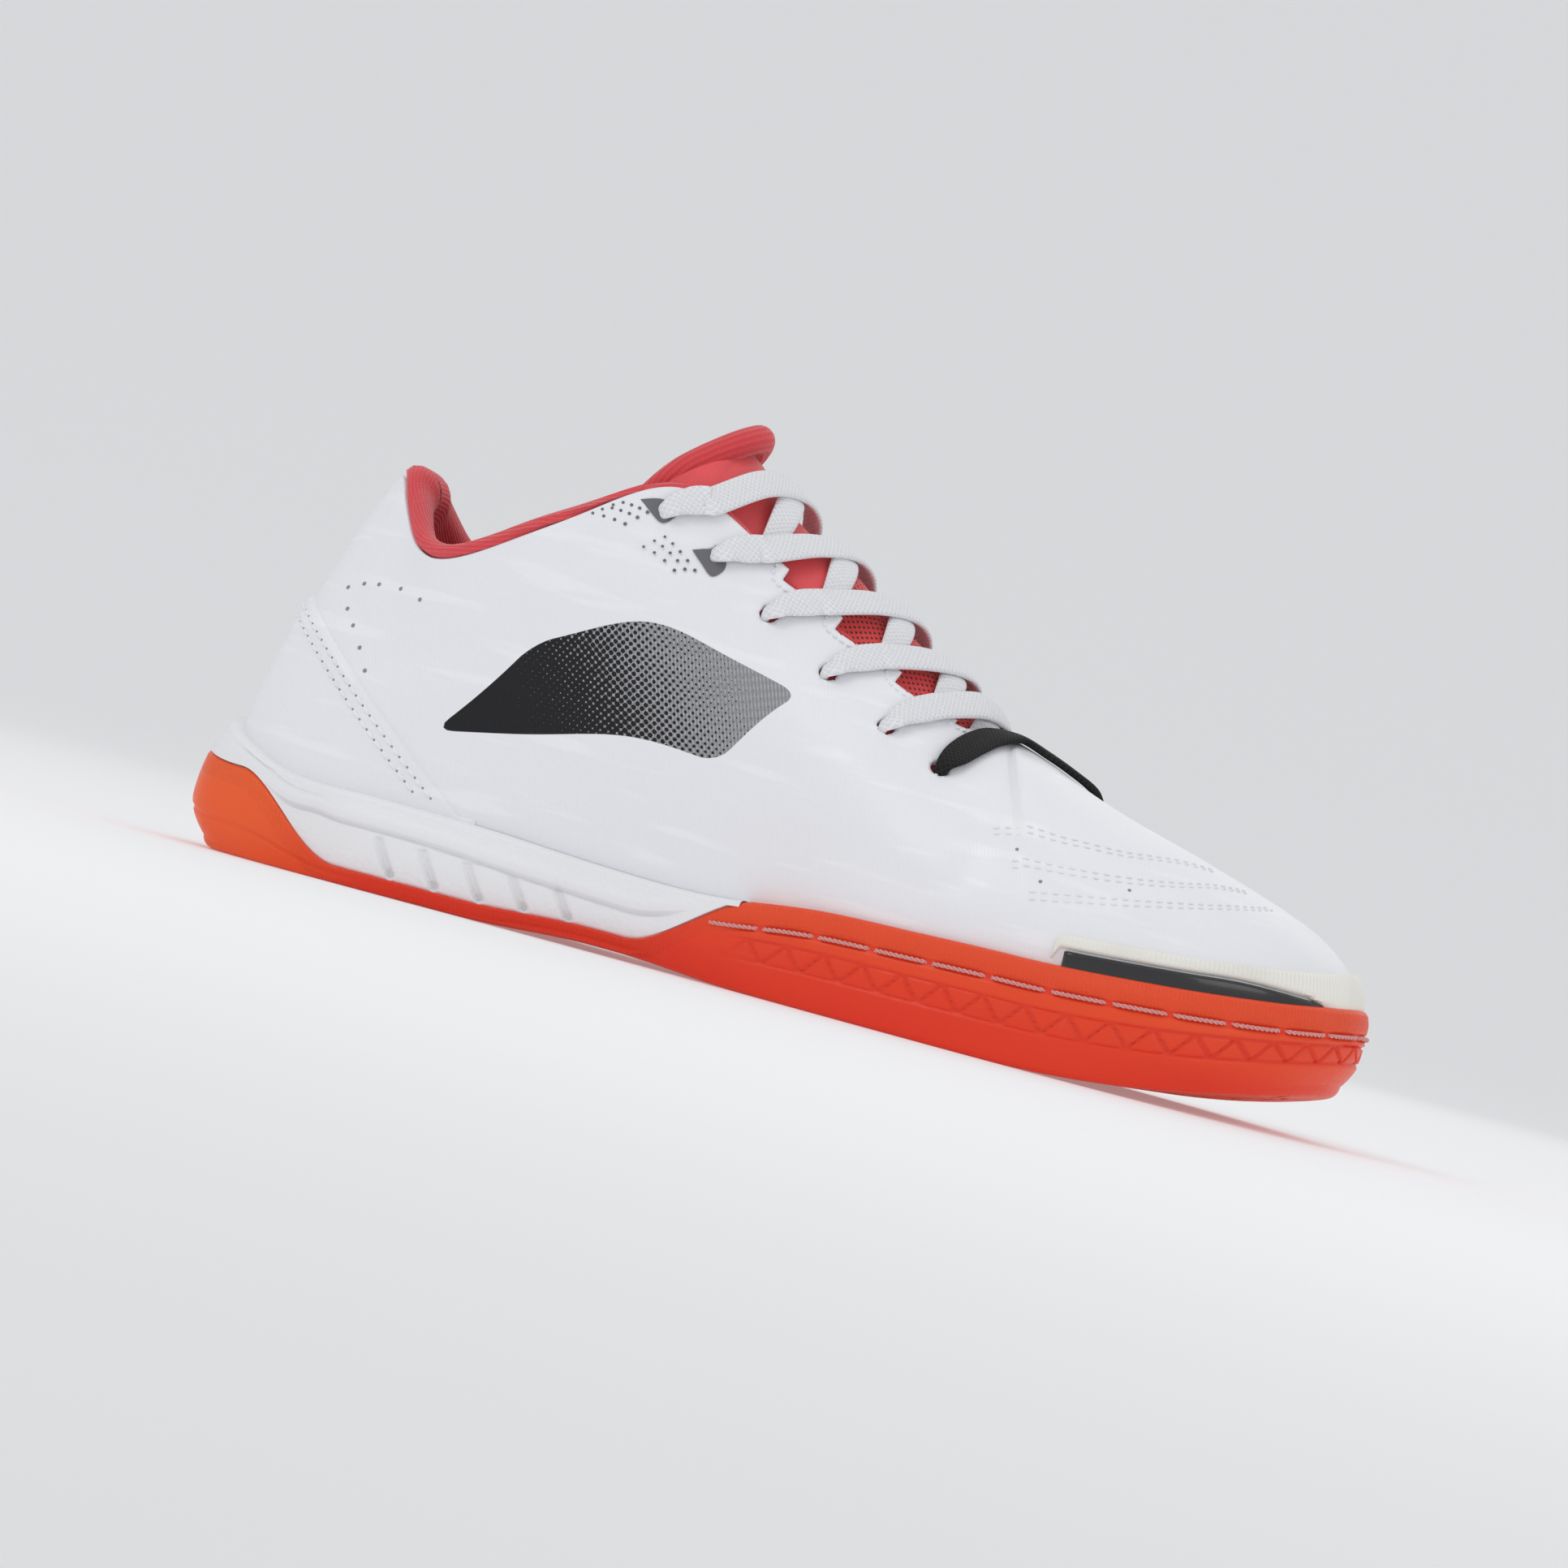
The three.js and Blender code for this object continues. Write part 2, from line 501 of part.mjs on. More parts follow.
// The lace holes, in a row along each side of the throat.
const EYELET_FIRST = { row: 5.97, share: 0.925 };
const EYELET_LAST = { row: 9.05, share: 0.68 };
const eyeletRow = (k) => THREE.MathUtils.lerp(EYELET_FIRST.row, EYELET_LAST.row, k / (EYELETS - 1));
function eyeletShare(r) {
  const part = (Math.min(r, opposite(r)) - EYELET_FIRST.row) / (EYELET_LAST.row - EYELET_FIRST.row);
  return THREE.MathUtils.lerp(EYELET_FIRST.share, EYELET_LAST.share, part);
}
function eyeletTool(r) {
  const hole = new THREE.CylinderGeometry(EYELET_RADIUS, EYELET_RADIUS, 5 * WALL, 6);
  const along = new THREE.Quaternion().setFromUnitVectors(
    new THREE.Vector3(0, 1, 0), upperNormal(r, eyeletShare(r)));
  hole.applyQuaternion(along);
  const place = skin(r, eyeletShare(r), -WALL / 2);
  hole.translate(place.x, place.y, place.z);
  return welded(hole);
}
function eyelets() {
  const rows = Array.from({ length: EYELETS }, (_, k) => eyeletRow(k));
  return rows.flatMap((r) => [eyeletTool(r), eyeletTool(opposite(r))]);
}

// A strip that lies on the upper from row to row, between two shares of its ribs.
function strip(rows, lowShare, highShare, thick, steps) {
  return loft(rows.map((r, i) => {
    const [low, high] = [lowShare(r), highShare(r)];
    const isEnd = i === 0 || i === rows.length - 1;
    const shares = Array.from({ length: steps + 1 }, (_, k) => THREE.MathUtils.lerp(low, high, k / steps));
    const inner = shares.map((v) => skin(r, v, CLEAR));
    const outer = shares.map((v, k) => {
      const isEdge = isEnd || k === 0 || k === steps;
      return skin(r, v, CLEAR + (isEdge ? 0.6 : 1) * thick);
    });
    return [...inner, ...outer.reverse()];
  }));
}

// The heel counter: its top edge falls in a straight line from the back to the sole.
const COUNTER_TOP = 65;
const COUNTER_FALL = 0.78;
const COUNTER_START = 0.06;
const COUNTER_ROWS = 4.33;
function counterShare(r) {
  return shareAt(r, (p) => COUNTER_TOP - COUNTER_FALL * Math.max(0, p.x - COUNTER_START * LENGTH));
}
function counterBody() {
  const rows = stations(ROW_COUNT - COUNTER_ROWS, ROW_COUNT + COUNTER_ROWS);
  return strip(rows, () => 0.004, (r) => Math.max(0.03, counterShare(r)), COUNTER, 3);
}

// The toe bumper and, under it on both sides, the dark stripe.
const BUMPER_START_ROW = 10.33;
const STRIPE_END_ROW = 14;
const rimShare = (r, height) => shareAt(r, () => rimZ(r) + CLEAR + height);
function stripeHeight(r) {
  const side = Math.min(r, opposite(r));
  const full = 0.42 * BUMPER_HEIGHT;
  return full * (1 - smooth(STRIPE_END_ROW - 2, STRIPE_END_ROW, side));
}
function bumperBody() {
  const rows = stations(BUMPER_START_ROW, ROW_COUNT - BUMPER_START_ROW);
  const low = (r) => rimShare(r, stripeHeight(r) + CLEAR);
  return strip(rows, low, (r) => rimShare(r, BUMPER_HEIGHT), BUMPER, 2);
}
function stripeBody(side) {
  const rows = stations(BUMPER_START_ROW + 0.33, STRIPE_END_ROW - 0.33, 2);
  const turned = side > 0 ? rows : rows.map(opposite).reverse();
  const high = (r) => rimShare(r, stripeHeight(r) - 0.1);
  return strip(turned, (r) => Math.min(0.004, 0.5 * high(r)), high, STRIPE, 2);
}

function insoleBody() {
  const edge = 0.8;
  const inset = (r) => seatInset(r) + CLEAR + WALL + 2 * CLEAR;
  const profile = (r) => {
    const z = bedZ(around(PLAN.x, r)) + CLEAR;
    return [
      levelPoint(r, inset(r) + edge, z),
      levelPoint(r, inset(r), z + edge),
      levelPoint(r, inset(r), z + INSOLE - edge),
      levelPoint(r, inset(r) + edge, z + INSOLE),
    ];
  };
  const low = (x) => bedZ(x) + CLEAR;
  return loft(stations(0, LAST_ROW, 2).map((r) => soleSection(r, profile, low, (x) => low(x) + INSOLE)));
}

// The padded collar lining: a thin band on the inside that swells at the top and rolls out over
// the edge of the upper.
const LINING_ROWS = 17 / 3;
function liningBody() {
  const rows = stations(ROW_COUNT - LINING_ROWS, ROW_COUNT + LINING_ROWS);
  return loft(rows.map((r) => {
    const side = Math.min(r - ROW_COUNT, LINING_ROWS) * Math.sign(r - ROW_COUNT || 1);
    const full = 1 - smooth(LINING_ROWS - 1.2, LINING_ROWS, Math.abs(side));
    const pad = LINING_PAD * THREE.MathUtils.lerp(0.3, 1, full);
    const roll = LINING_ROLL * THREE.MathUtils.lerp(0.5, 1, full);
    const { curve } = rib(r);
    const top = curve.getPoint(1);
    const up = curve.getTangent(1);
    const inward = upperNormal(r, 1).negate();
    const over = (rise, depth) => top.clone().addScaledVector(up, rise).addScaledVector(inward, depth);
    const back = WALL + CLEAR + 0.15;
    return [
      skin(r, 0.45, -back),
      skin(r, 0.72, -back),
      skin(r, 0.96, -back),
      over(CLEAR, back),
      over(CLEAR, 0.4),
      over(0.55 * roll, 0.2),
      over(roll, 0.45 * (back + pad)),
      over(0.7 * roll, 0.85 * (back + pad)),
      over(0, back + pad),
      skin(r, 0.78, -back - 0.8 * pad),
      skin(r, 0.5, -back - 0.3 * pad),
    ];
  }));
}

// The tongue. Through the throat its cross curve runs under both edges and crowns between them;
// above the top holes it stands free and swells to a padded tip.
const TONGUE_END_ROW = 31 / 3;
const TONGUE_TOP_ROW = 19 / 3;
const TONGUE_CROWN = 17;
const TONGUE_STEPS = 6;
function crownHeight(r) {
  const fall = 0.35 * smooth(6.1, 7.2, r) + 0.18 * smooth(7.2, 9, r) + 0.47 * smooth(8.8, 9.8, r);
  return TONGUE_CROWN * (1 - fall);
}
function tongueCurve(r) {
  const gap = WALL + CLEAR + 0.5;
  const point = (row, v) => skin(row, v, -gap);
  const [near, far] = [r, opposite(r)];
  const isNarrow = isClosed(r) || Math.abs(around(RIB.y, r)) < 3;
  const arch = (isNarrow ? [0.5] : [0.25, 0.5, 0.75]).map((t) => {
    const p = point(near, 1).lerp(point(far, 1), t);
    p.z += crownHeight(r) * 4 * t * (1 - t);
    return p;
  });
  const shares = isNarrow ? [0.84, 0.92] : [0.86, 0.93, 1];
  return new THREE.CatmullRomCurve3([
    ...shares.map((v) => point(near, v)),
    ...arch,
    ...shares.map((v) => point(far, v)).reverse(),
  ], false, 'centripetal');
}
const tonguePoint = (r, share) => tongueCurve(r).getPointAt(share);
function tongueNormal(r, share) {
  const h = 0.05;
  const along = tonguePoint(r + h, share).sub(tonguePoint(r - h, share));
  const over = tonguePoint(r, share + h).sub(tonguePoint(r, share - h));
  return new THREE.Vector3().crossVectors(along, over).normalize();
}
const TIP_ROWS = [
  { along: 0.30, wide: 0.90, thick: 0.60 },
  { along: 0.62, wide: 0.82, thick: 0.90 },
  { along: 0.86, wide: 0.74, thick: 1.00 },
  { along: 1.00, wide: 0.60, thick: 0.55 },
];
const TIP_BACK = 0.045;
const TIP_RISE = 4.5;
// The tip bows: its sides stand back from its middle, by back.
function tongueSection(curve, thick, back = 0, rise = 0, wide = 1) {
  const top = curve.getPoints(TONGUE_STEPS);
  const centre = top[TONGUE_STEPS / 2].clone();
  const placed = top.map((p, k) => {
    const side = Math.abs((2 * k) / TONGUE_STEPS - 1);
    const bow = THREE.MathUtils.lerp(0.12, 1, side ** 1.5);
    const y = centre.y + (p.y - centre.y) * wide;
    return new THREE.Vector3(p.x - back * bow, y, p.z + rise * (1 - 0.5 * side));
  });
  const axis = centre.clone().add(new THREE.Vector3(-0.6 * back, 0, rise - 0.36 * COLLAR_WIDTH));
  const under = placed.map((p) => p.clone().addScaledVector(axis.clone().sub(p).normalize(), thick));
  return [...placed, ...under.reverse()];
}
function tongueBody() {
  const throat = stations(TONGUE_TOP_ROW, TONGUE_END_ROW).reverse();
  const sections = throat.map((r) => tongueSection(tongueCurve(r), TONGUE));
  const last = tongueCurve(TONGUE_TOP_ROW);
  for (const { along, wide, thick } of TIP_ROWS) {
    const back = TIP_BACK * LENGTH * along;
    sections.push(tongueSection(last, Math.max(TONGUE, thick * TONGUE_TIP), back, TIP_RISE * along, wide));
  }
  return loft(sections);
}

// A flat ribbon along points that each carry the direction facing away from the shoe.
function ribbon(points, width, thick) {
  return loft(points.map(({ at, up }, i) => {
    const next = points[Math.min(i + 1, points.length - 1)].at;
    const before = points[Math.max(i - 1, 0)].at;
    const along = next.clone().sub(before).normalize();
    const side = new THREE.Vector3().crossVectors(along, up).normalize();
    const face = new THREE.Vector3().crossVectors(side, along).normalize();
    const corner = (a, b) => at.clone().addScaledVector(side, a * width).addScaledVector(face, b * thick);
    return [corner(-0.5, -0.5), corner(0.5, -0.5), corner(0.5, 0.5), corner(-0.5, 0.5)];
  }));
}
// One lace strand: out of a hole, over the edge and across the tongue, where it hangs towards the toe.
const SAG_EDGE = 0.42;
const SAG_MIDDLE = 0.88;
const LACE_SLACK = 0.9;
const LACE_LIFT = 0.7;
const END_LIFT = 2.2;
function strandBody(row, side, lift, reach) {
  const start = side > 0 ? row : opposite(row);
  const on = (r, v, up) => ({ at: skin(r, v, up), up: upperNormal(r, v) });
  const rest = CLEAR + LACE_THICK / 2 + LACE_SLACK;
  const hole = eyeletShare(row);
  const points = [0.06, 0.38, 0.7, 0.985].map((part) => (
    on(start + side * SAG_EDGE * part, THREE.MathUtils.lerp(hole, 1, part), rest)));
  for (const share of [0.3, 0.5, reach]) {
    const r = row + THREE.MathUtils.lerp(SAG_EDGE, SAG_MIDDLE, Math.min(1.2, 2 * share));
    const s = side > 0 ? share : 1 - share;
    const across = THREE.MathUtils.lerp(0.08, 0.92, s);
    const at = tonguePoint(r, across);
    const up = tongueNormal(r, across);
    points.push({ at: at.addScaledVector(up, CLEAR + lift + LACE_THICK / 2), up });
  }
  return ribbon(points, LACE_WIDTH, LACE_THICK);
}
function crossingBody(k) {
  const row = eyeletRow(k);
  const isLast = k === EYELETS - 2;
  const reach = isLast ? 0.54 : 0.6;
  const lift = isLast || k === 0 ? END_LIFT : LACE_LIFT;
  return join([strandBody(row, 1, lift + 0.4, reach), strandBody(row, -1, lift, reach)]);
}
// The textile band across the vamp at the foot of the throat.
const BAND_STATIONS = [
  { row: 9.08, side: 1, share: 0.68 },
  { row: 9.22, side: 1, share: 0.76 },
  { row: 9.42, side: 1, share: 0.84 },
  { row: 9.68, side: 1, share: 0.91 },
  { row: 10.0, side: 1, share: 0.965 },
  { row: 10.3, side: -1, share: 0.985 },
  { row: 10.5, side: -1, share: 0.93 },
  { row: 10.65, side: -1, share: 0.86 },
];
function bandBody() {
  const rest = CLEAR + LACE_THICK / 2 + 0.8;
  return ribbon(BAND_STATIONS.map(({ row, side, share }) => {
    const r = side > 0 ? row : opposite(row);
    return { at: skin(r, share, rest), up: upperNormal(r, share) };
  }), BAND_WIDTH, LACE_THICK);
}

// The tread's zones, each ringed by a groove, as shares of LENGTH and BALL_WIDTH.
const TREAD_ZONES = {
  heel_outer: [[0.05, -0.21], [0.08, -0.28], [0.13, -0.31], [0.18, -0.29], [0.22, -0.25], [0.26, -0.19],
    [0.22, -0.15], [0.16, -0.14], [0.11, -0.15], [0.07, -0.16]],
  heel_inner: [[0.06, -0.08], [0.11, -0.07], [0.18, -0.06], [0.24, -0.01], [0.29, 0.02], [0.325, 0.10],
    [0.33, 0.20], [0.30, 0.26], [0.25, 0.30], [0.18, 0.33], [0.12, 0.30], [0.08, 0.19]],
  ball_outer: [[0.49, -0.33], [0.52, -0.38], [0.58, -0.42], [0.66, -0.44], [0.715, -0.44], [0.72, -0.41],
    [0.69, -0.30], [0.65, -0.16], [0.60, -0.06], [0.55, 0.01], [0.50, -0.03], [0.487, -0.16]],
  toe_outer: [[0.72, -0.25], [0.74, -0.36], [0.77, -0.42], [0.82, -0.42], [0.87, -0.38], [0.91, -0.31],
    [0.94, -0.24], [0.93, -0.20], [0.86, -0.235], [0.78, -0.26]],
  ball_inner: [[0.51, 0.17], [0.56, 0.12], [0.64, 0.05], [0.685, 0.07], [0.72, 0.17], [0.76, 0.33],
    [0.75, 0.42], [0.71, 0.45], [0.64, 0.425], [0.58, 0.35], [0.54, 0.26]],
  toe_inner: [[0.72, -0.08], [0.75, -0.13], [0.82, -0.14], [0.89, -0.11], [0.93, -0.06], [0.945, 0.04],
    [0.93, 0.16], [0.89, 0.29], [0.85, 0.35], [0.82, 0.33], [0.78, 0.20], [0.75, 0.08]],
};
const PIVOTS = [
  { at: 0.597, side: -0.28, long: 0.048, wide: 0.10, turn: 0.35 },
  { at: 0.698, side: 0.345, long: 0.048, wide: 0.115, turn: 0.9 },
];
const PIVOT_CORNERS = 12;
const ZONE_STEPS = 12;
function ringTool(points, width) {
  const curve = new THREE.SplineCurve([...points, points[0]]);
  const line = curve.getPoints(ZONE_STEPS).slice(0, -1);
  const turned = THREE.ShapeUtils.area(line) < 0 ? line.reverse() : line;
  const inner = turned.map((p, i) => {
    const d = turned[(i + 1) % turned.length].clone().sub(turned.at(i - 1)).normalize();
    return new THREE.Vector2(p.x - d.y * width, p.y + d.x * width);
  });
  const shape = new THREE.Shape(turned);
  shape.holes.push(new THREE.Path(inner.reverse()));
  const ring = new THREE.ExtrudeGeometry(shape, { depth: SOLE_RIM, bevelEnabled: false });
  ring.translate(0, 0, -0.4 * SOLE_RIM);
  return welded(ring);
}
function treadGrooves() {
  const zones = Object.values(TREAD_ZONES).map((points) => (
    points.map(([a, b]) => new THREE.Vector2(a * LENGTH, b * BALL_WIDTH))));
  const ovals = PIVOTS.map(({ at, side, long, wide, turn }) => (
    Array.from({ length: PIVOT_CORNERS }, (_, i) => {
      const angle = (2 * i * Math.PI) / PIVOT_CORNERS;
      const p = new THREE.Vector2(Math.cos(angle) * long * LENGTH, Math.sin(angle) * wide * BALL_WIDTH);
      p.rotateAround(new THREE.Vector2(), turn);
      return p.add(new THREE.Vector2(at * LENGTH, side * BALL_WIDTH));
    })));
  const under = loft(stations(0, LAST_ROW).map((r) => {
    const [a, b] = [planPoint(r, -1), planPoint(opposite(r), -1)];
    const floor = across(a, b, () => -0.4 * SOLE_RIM, 1);
    return [...floor, ...across(b, a, (x, y) => treadZ(x, y) + TREAD_DEPTH, CROSS_STEPS)];
  }));
  const rings = [...zones, ...ovals].map((points) => toManifold(ringTool(points, TREAD_GROOVE)));
  return rings.reduce((sum, part) => sum.add(part)).intersect(toManifold(under));
}

addPart('outsole', fromManifold(toManifold(outsoleBody()).subtract(treadGrooves())), 0xe5482f, 0.35);
addPart('midsole', midsoleBody(), 0xf4f4f2, 0.6);
addPart('insole', insoleBody(), 0xd9433f, 0.9);
addPart('upper', cut(upperBody(), eyelets()), 0xf6f7f9, 0.4);
addPart('collar_lining', liningBody(), 0xef5560, 0.9);
addPart('heel_counter', counterBody(), 0xf4f5f7, 0.4);
addPart('toe_bumper', bumperBody(), 0xf1ede0, 0.5);
addPart('toe_stripe_outer', stripeBody(1), 0x15161a, 0.4);
addPart('toe_stripe_inner', stripeBody(-1), 0x15161a, 0.4);
addPart('tongue', tongueBody(), 0xee4f58, 0.9);
for (let k = 0; k < EYELETS - 1; k += 1) {
  addPart(`lace_crossing_${k + 1}`, crossingBody(k), 0xf8f8fa, 0.8);
}
addPart('throat_band', bandBody(), 0x1b1b1d, 0.8);

// The origin goes to the middle of the bounding box, on the floor.
const box = new THREE.Box3().setFromObject(shoe);
const middle = box.getCenter(new THREE.Vector3());
for (const mesh of shoe.children) mesh.geometry.translate(-middle.x, -middle.y, -box.min.z);

export default shoe;
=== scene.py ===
"""The looks of an indoor soccer shoe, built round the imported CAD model.

Shapes are worked out in millimetres in a frame of their own: x runs from the heel tip to the toe, y to
the inner side of the foot and z up from the floor. placed() moves them into the row frame in metres."""
import math

import bmesh
import bpy
import numpy as np
from mathutils import Matrix, Vector


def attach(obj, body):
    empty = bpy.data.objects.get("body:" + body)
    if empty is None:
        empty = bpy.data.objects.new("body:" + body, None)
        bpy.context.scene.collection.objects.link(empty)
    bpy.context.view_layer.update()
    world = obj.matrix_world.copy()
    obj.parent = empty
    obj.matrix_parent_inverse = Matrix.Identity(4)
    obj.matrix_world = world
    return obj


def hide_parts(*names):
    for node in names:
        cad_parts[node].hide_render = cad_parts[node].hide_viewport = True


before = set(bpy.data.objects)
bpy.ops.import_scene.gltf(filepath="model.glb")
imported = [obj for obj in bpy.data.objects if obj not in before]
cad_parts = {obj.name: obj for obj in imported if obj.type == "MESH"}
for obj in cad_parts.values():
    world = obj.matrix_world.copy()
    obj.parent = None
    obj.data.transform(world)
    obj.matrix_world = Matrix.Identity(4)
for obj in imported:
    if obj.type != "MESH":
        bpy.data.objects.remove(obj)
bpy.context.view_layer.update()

MIDDLE = np.array([143.9907, 0.5250, 0.0])
LENGTH, BALL_WIDTH, HEEL_WIDTH = 288.0, 105.0, 77.0
TOE_SPRING, ARCH_RISE, HEEL_BEVEL, PLATE, WRAP = 13.0, 5.0, 3.0, 4.0, 2.2
SOLE_RIM, HEEL_WRAP, SIDE_TUCK, SIDE_LEAN = 25.0, 17.0, 10.0, 5.0
HEEL_BED, BALL_BED = 17.5, 6.5
WALL, CLEAR, UPPER_HEIGHT, COLLAR_WIDTH, TOE_SLOPE = 2.0, 0.3, 112.0, 70.0, -0.34
SMOOTHING = 0.16

# One line for each section from heel to toe: at, ball, outer, inner, tuck, lean, bulge, rim.
SOLE_ROWS = np.array([
    (0.000, 0.0, 0.065, -0.065, 0.70, 0.95, 0.34, 1.31), (0.014, 0.0, 0.325, 0.208, 0.65, 0.85, 0.35, 1.25),
    (0.048, 0.0, 0.429, 0.364, 0.55, 0.55, 0.38, 1.09), (0.104, 0.0, 0.487, 0.468, 0.42, 0.32, 0.45, 0.90),
    (0.184, 0.0, 0.500, 0.532, 0.40, 0.30, 0.50, 0.89), (0.278, 0.2, 0.454, 0.490, 0.55, 0.30, 0.50, 0.87),
    (0.375, 0.5, 0.412, 0.350, 0.65, 0.30, 0.50, 0.81), (0.472, 0.8, 0.412, 0.290, 0.50, 0.30, 0.50, 0.80),
    (0.566, 1.0, 0.443, 0.356, 0.25, 0.30, 0.50, 0.93), (0.653, 1.0, 0.481, 0.476, 0.15, 0.30, 0.50, 0.97),
    (0.739, 1.0, 0.495, 0.505, 0.10, 0.30, 0.50, 1.00), (0.827, 1.0, 0.471, 0.476, 0.15, 0.30, 0.50, 0.99),
    (0.902, 1.0, 0.386, 0.400, 0.28, 0.30, 0.50, 0.92), (0.959, 1.0, 0.257, 0.276, 0.38, 0.28, 0.50, 0.84),
    (0.990, 1.0, 0.114, 0.152, 0.42, 0.25, 0.50, 0.80), (1.000, 1.0, -0.019, 0.019, 0.44, 0.25, 0.50, 0.79),
])
# The upper's ribs on the same sections: at, high, outer, inner, rise, flare, crown, slant.
UPPER_ROWS = np.array([
    (0.096, 0.880, 0.043, -0.043, 0.33, -0.06, 0.33, 64), (0.105, 0.866, 0.143, 0.110, 0.33, -0.04, 0.33, 66),
    (0.121, 0.806, 0.243, 0.229, 0.33, 0.00, 0.33, 72), (0.149, 0.728, 0.365, 0.350, 0.33, 0.03, 0.33, 80),
    (0.191, 0.730, 0.463, 0.450, 0.33, 0.05, 0.33, 86), (0.271, 0.857, 0.495, 0.475, 0.33, 0.04, 0.33, 86),
    (0.352, 0.995, 0.385, 0.385, 0.35, 0.03, 0.33, 66), (0.437, 0.905, 0.310, 0.310, 0.36, 0.02, 0.35, 52),
    (0.535, 0.778, 0.295, 0.295, 0.36, 0.00, 0.36, 43), (0.620, 0.664, 0.260, 0.260, 0.36, 0.00, 0.34, 34),
    (0.662, 0.655, 0.000, 0.000, 0.34, 0.00, 0.32, 8), (0.746, 0.575, 0.000, 0.000, 0.34, 0.00, 0.34, 0),
    (0.820, 0.522, 0.000, 0.000, 0.34, -0.01, 0.38, 0), (0.871, 0.486, 0.000, 0.000, 0.32, -0.02, 0.40, 0),
    (0.899, 0.463, 0.000, 0.000, 0.30, -0.04, 0.42, 0), (0.913, 0.450, 0.000, 0.000, 0.29, -0.05, 0.42, 0),
])
LAST_ROW = len(SOLE_ROWS) - 1
ROWS = 2 * LAST_ROW
CLOSED_ROW = 10
FINE = 32
OUTER_ROWS = np.arange(LAST_ROW * FINE + 1) / FINE


def smooth(low, high, value):
    """0 up to low, 1 from high, with an eased step between."""
    t = np.clip((np.asarray(value, float) - low) / (high - low), 0, 1)
    return t * t * (3 - 2 * t)


def lerp(a, b, t):
    return a + (b - a) * t


def curve(a, b, c, d, t):
    """The smooth curve from b to c whose neighbours are a and d."""
    return 0.5 * (2 * b + (c - a) * t + (2 * a - 5 * b + 4 * c - d) * t**2 + (3 * b - a - 3 * c + d) * t**3)


def running(points):
    """The running length along a row of points."""
    return np.concatenate([[0], np.cumsum(np.linalg.norm(np.diff(points, axis=0), axis=1))])


def resampled(at, run, data):
    """The columns of data at places along their running length."""
    return np.stack([np.interp(at, run, column) for column in data.T], -1)


def loop(outer, inner=None):
    """A column as a closed loop: down the outer side to the toe and back along the inner side. It
    is sampled finely from the spline through the rows, and eased."""
    inner = outer if inner is None else inner
    values = np.concatenate([outer, inner[-2:0:-1]])
    r = np.arange(ROWS * FINE) / FINE
    first = np.floor(r).astype(int)
    f = r - first
    fine = curve(*(values[(first + k) % ROWS] for k in (-1, 0, 1, 2)), f)
    k = np.arange(-20, 21)
    weight = np.exp(-0.5 * (k / FINE / SMOOTHING) ** 2)
    weight /= weight.sum()
    return sum(w * np.roll(fine, -s) for w, s in zip(weight, k))


def around(values, r):
    """A loop's value at rows that needn't be whole."""
    t = np.mod(np.asarray(r, float), ROWS) * FINE
    first = np.floor(t).astype(int)
    f = t - first
    n = len(values)
    return values[first % n] * (1 - f) + values[(first + 1) % n] * f


WIDTH = lerp(HEEL_WIDTH, BALL_WIDTH, SOLE_ROWS[:, 1])
PLAN_X = loop(SOLE_ROWS[:, 0] * LENGTH)
PLAN_Y = loop(-SOLE_ROWS[:, 2] * WIDTH, SOLE_ROWS[:, 3] * WIDTH)
TUCK, LEAN = loop(SOLE_ROWS[:, 4] * SIDE_TUCK), loop(SOLE_ROWS[:, 5] * SIDE_LEAN)
BULGE, RIM = loop(SOLE_ROWS[:, 6]), loop(SOLE_ROWS[:, 7] * SOLE_RIM)
TOP_X, TOP_Z = loop(UPPER_ROWS[:, 0] * LENGTH), loop(UPPER_ROWS[:, 1] * UPPER_HEIGHT)
TOP_Y = loop(-UPPER_ROWS[:, 2] * COLLAR_WIDTH, UPPER_ROWS[:, 3] * COLLAR_WIDTH)
RISE, FLARE, CROWN, SLANT = (loop(UPPER_ROWS[:, k]) for k in (4, 5, 6, 7))


def opposite(r):
    """The row on the other side of the shoe."""
    return (2 * ROWS - np.asarray(r, float)) % ROWS


def closed(r):
    """Whether a row lies in front of the throat, where the upper is closed over the foot."""
    return np.abs(opposite(r) - ROWS / 2) <= ROWS / 2 - CLOSED_ROW + 1e-9


def toe_lift(x):
    """How far the toe springs up from the floor."""
    return TOE_SPRING * np.maximum(0, (x / LENGTH - 0.74) / 0.26) ** 2


def tread_z(x, y):
    """The height of the tread's face."""
    at = x / LENGTH
    arch = smooth(0.27, 0.38, at) * (1 - smooth(0.40, 0.52, at))
    side = lerp(0.3, 1, smooth(-0.3 * BALL_WIDTH, 0.2 * BALL_WIDTH, y))
    return ARCH_RISE * arch * side + HEEL_BEVEL * np.maximum(0, 1 - at / 0.05) ** 2 + toe_lift(x)


def bed_z(x):
    """The height of the foot bed."""
    return lerp(HEEL_BED, BALL_BED, smooth(0.2, 0.62, x / LENGTH)) + toe_lift(x)


def outward(r):
    """The direction away from the sole's plan at a row."""
    h = 0.06
    dx = around(PLAN_X, r + h) - around(PLAN_X, r - h)
    dy = around(PLAN_Y, r + h) - around(PLAN_Y, r - h)
    return np.stack([dy, -dx], -1) / np.hypot(dx, dy)[..., None]


def plan_point(r, inset):
    """A point of the sole's plan, moved in from its edge."""
    return np.stack([around(PLAN_X, r), around(PLAN_Y, r)], -1) - outward(r) * np.asarray(inset)[..., None]


def level_point(r, inset, z):
    r, inset, z = np.broadcast_arrays(r, inset, z)
    return np.concatenate([plan_point(r, inset), z[..., None]], -1)


def rim_z(r):
    """The height of the sole's rim."""
    return around(RIM, r) + toe_lift(around(PLAN_X, r))


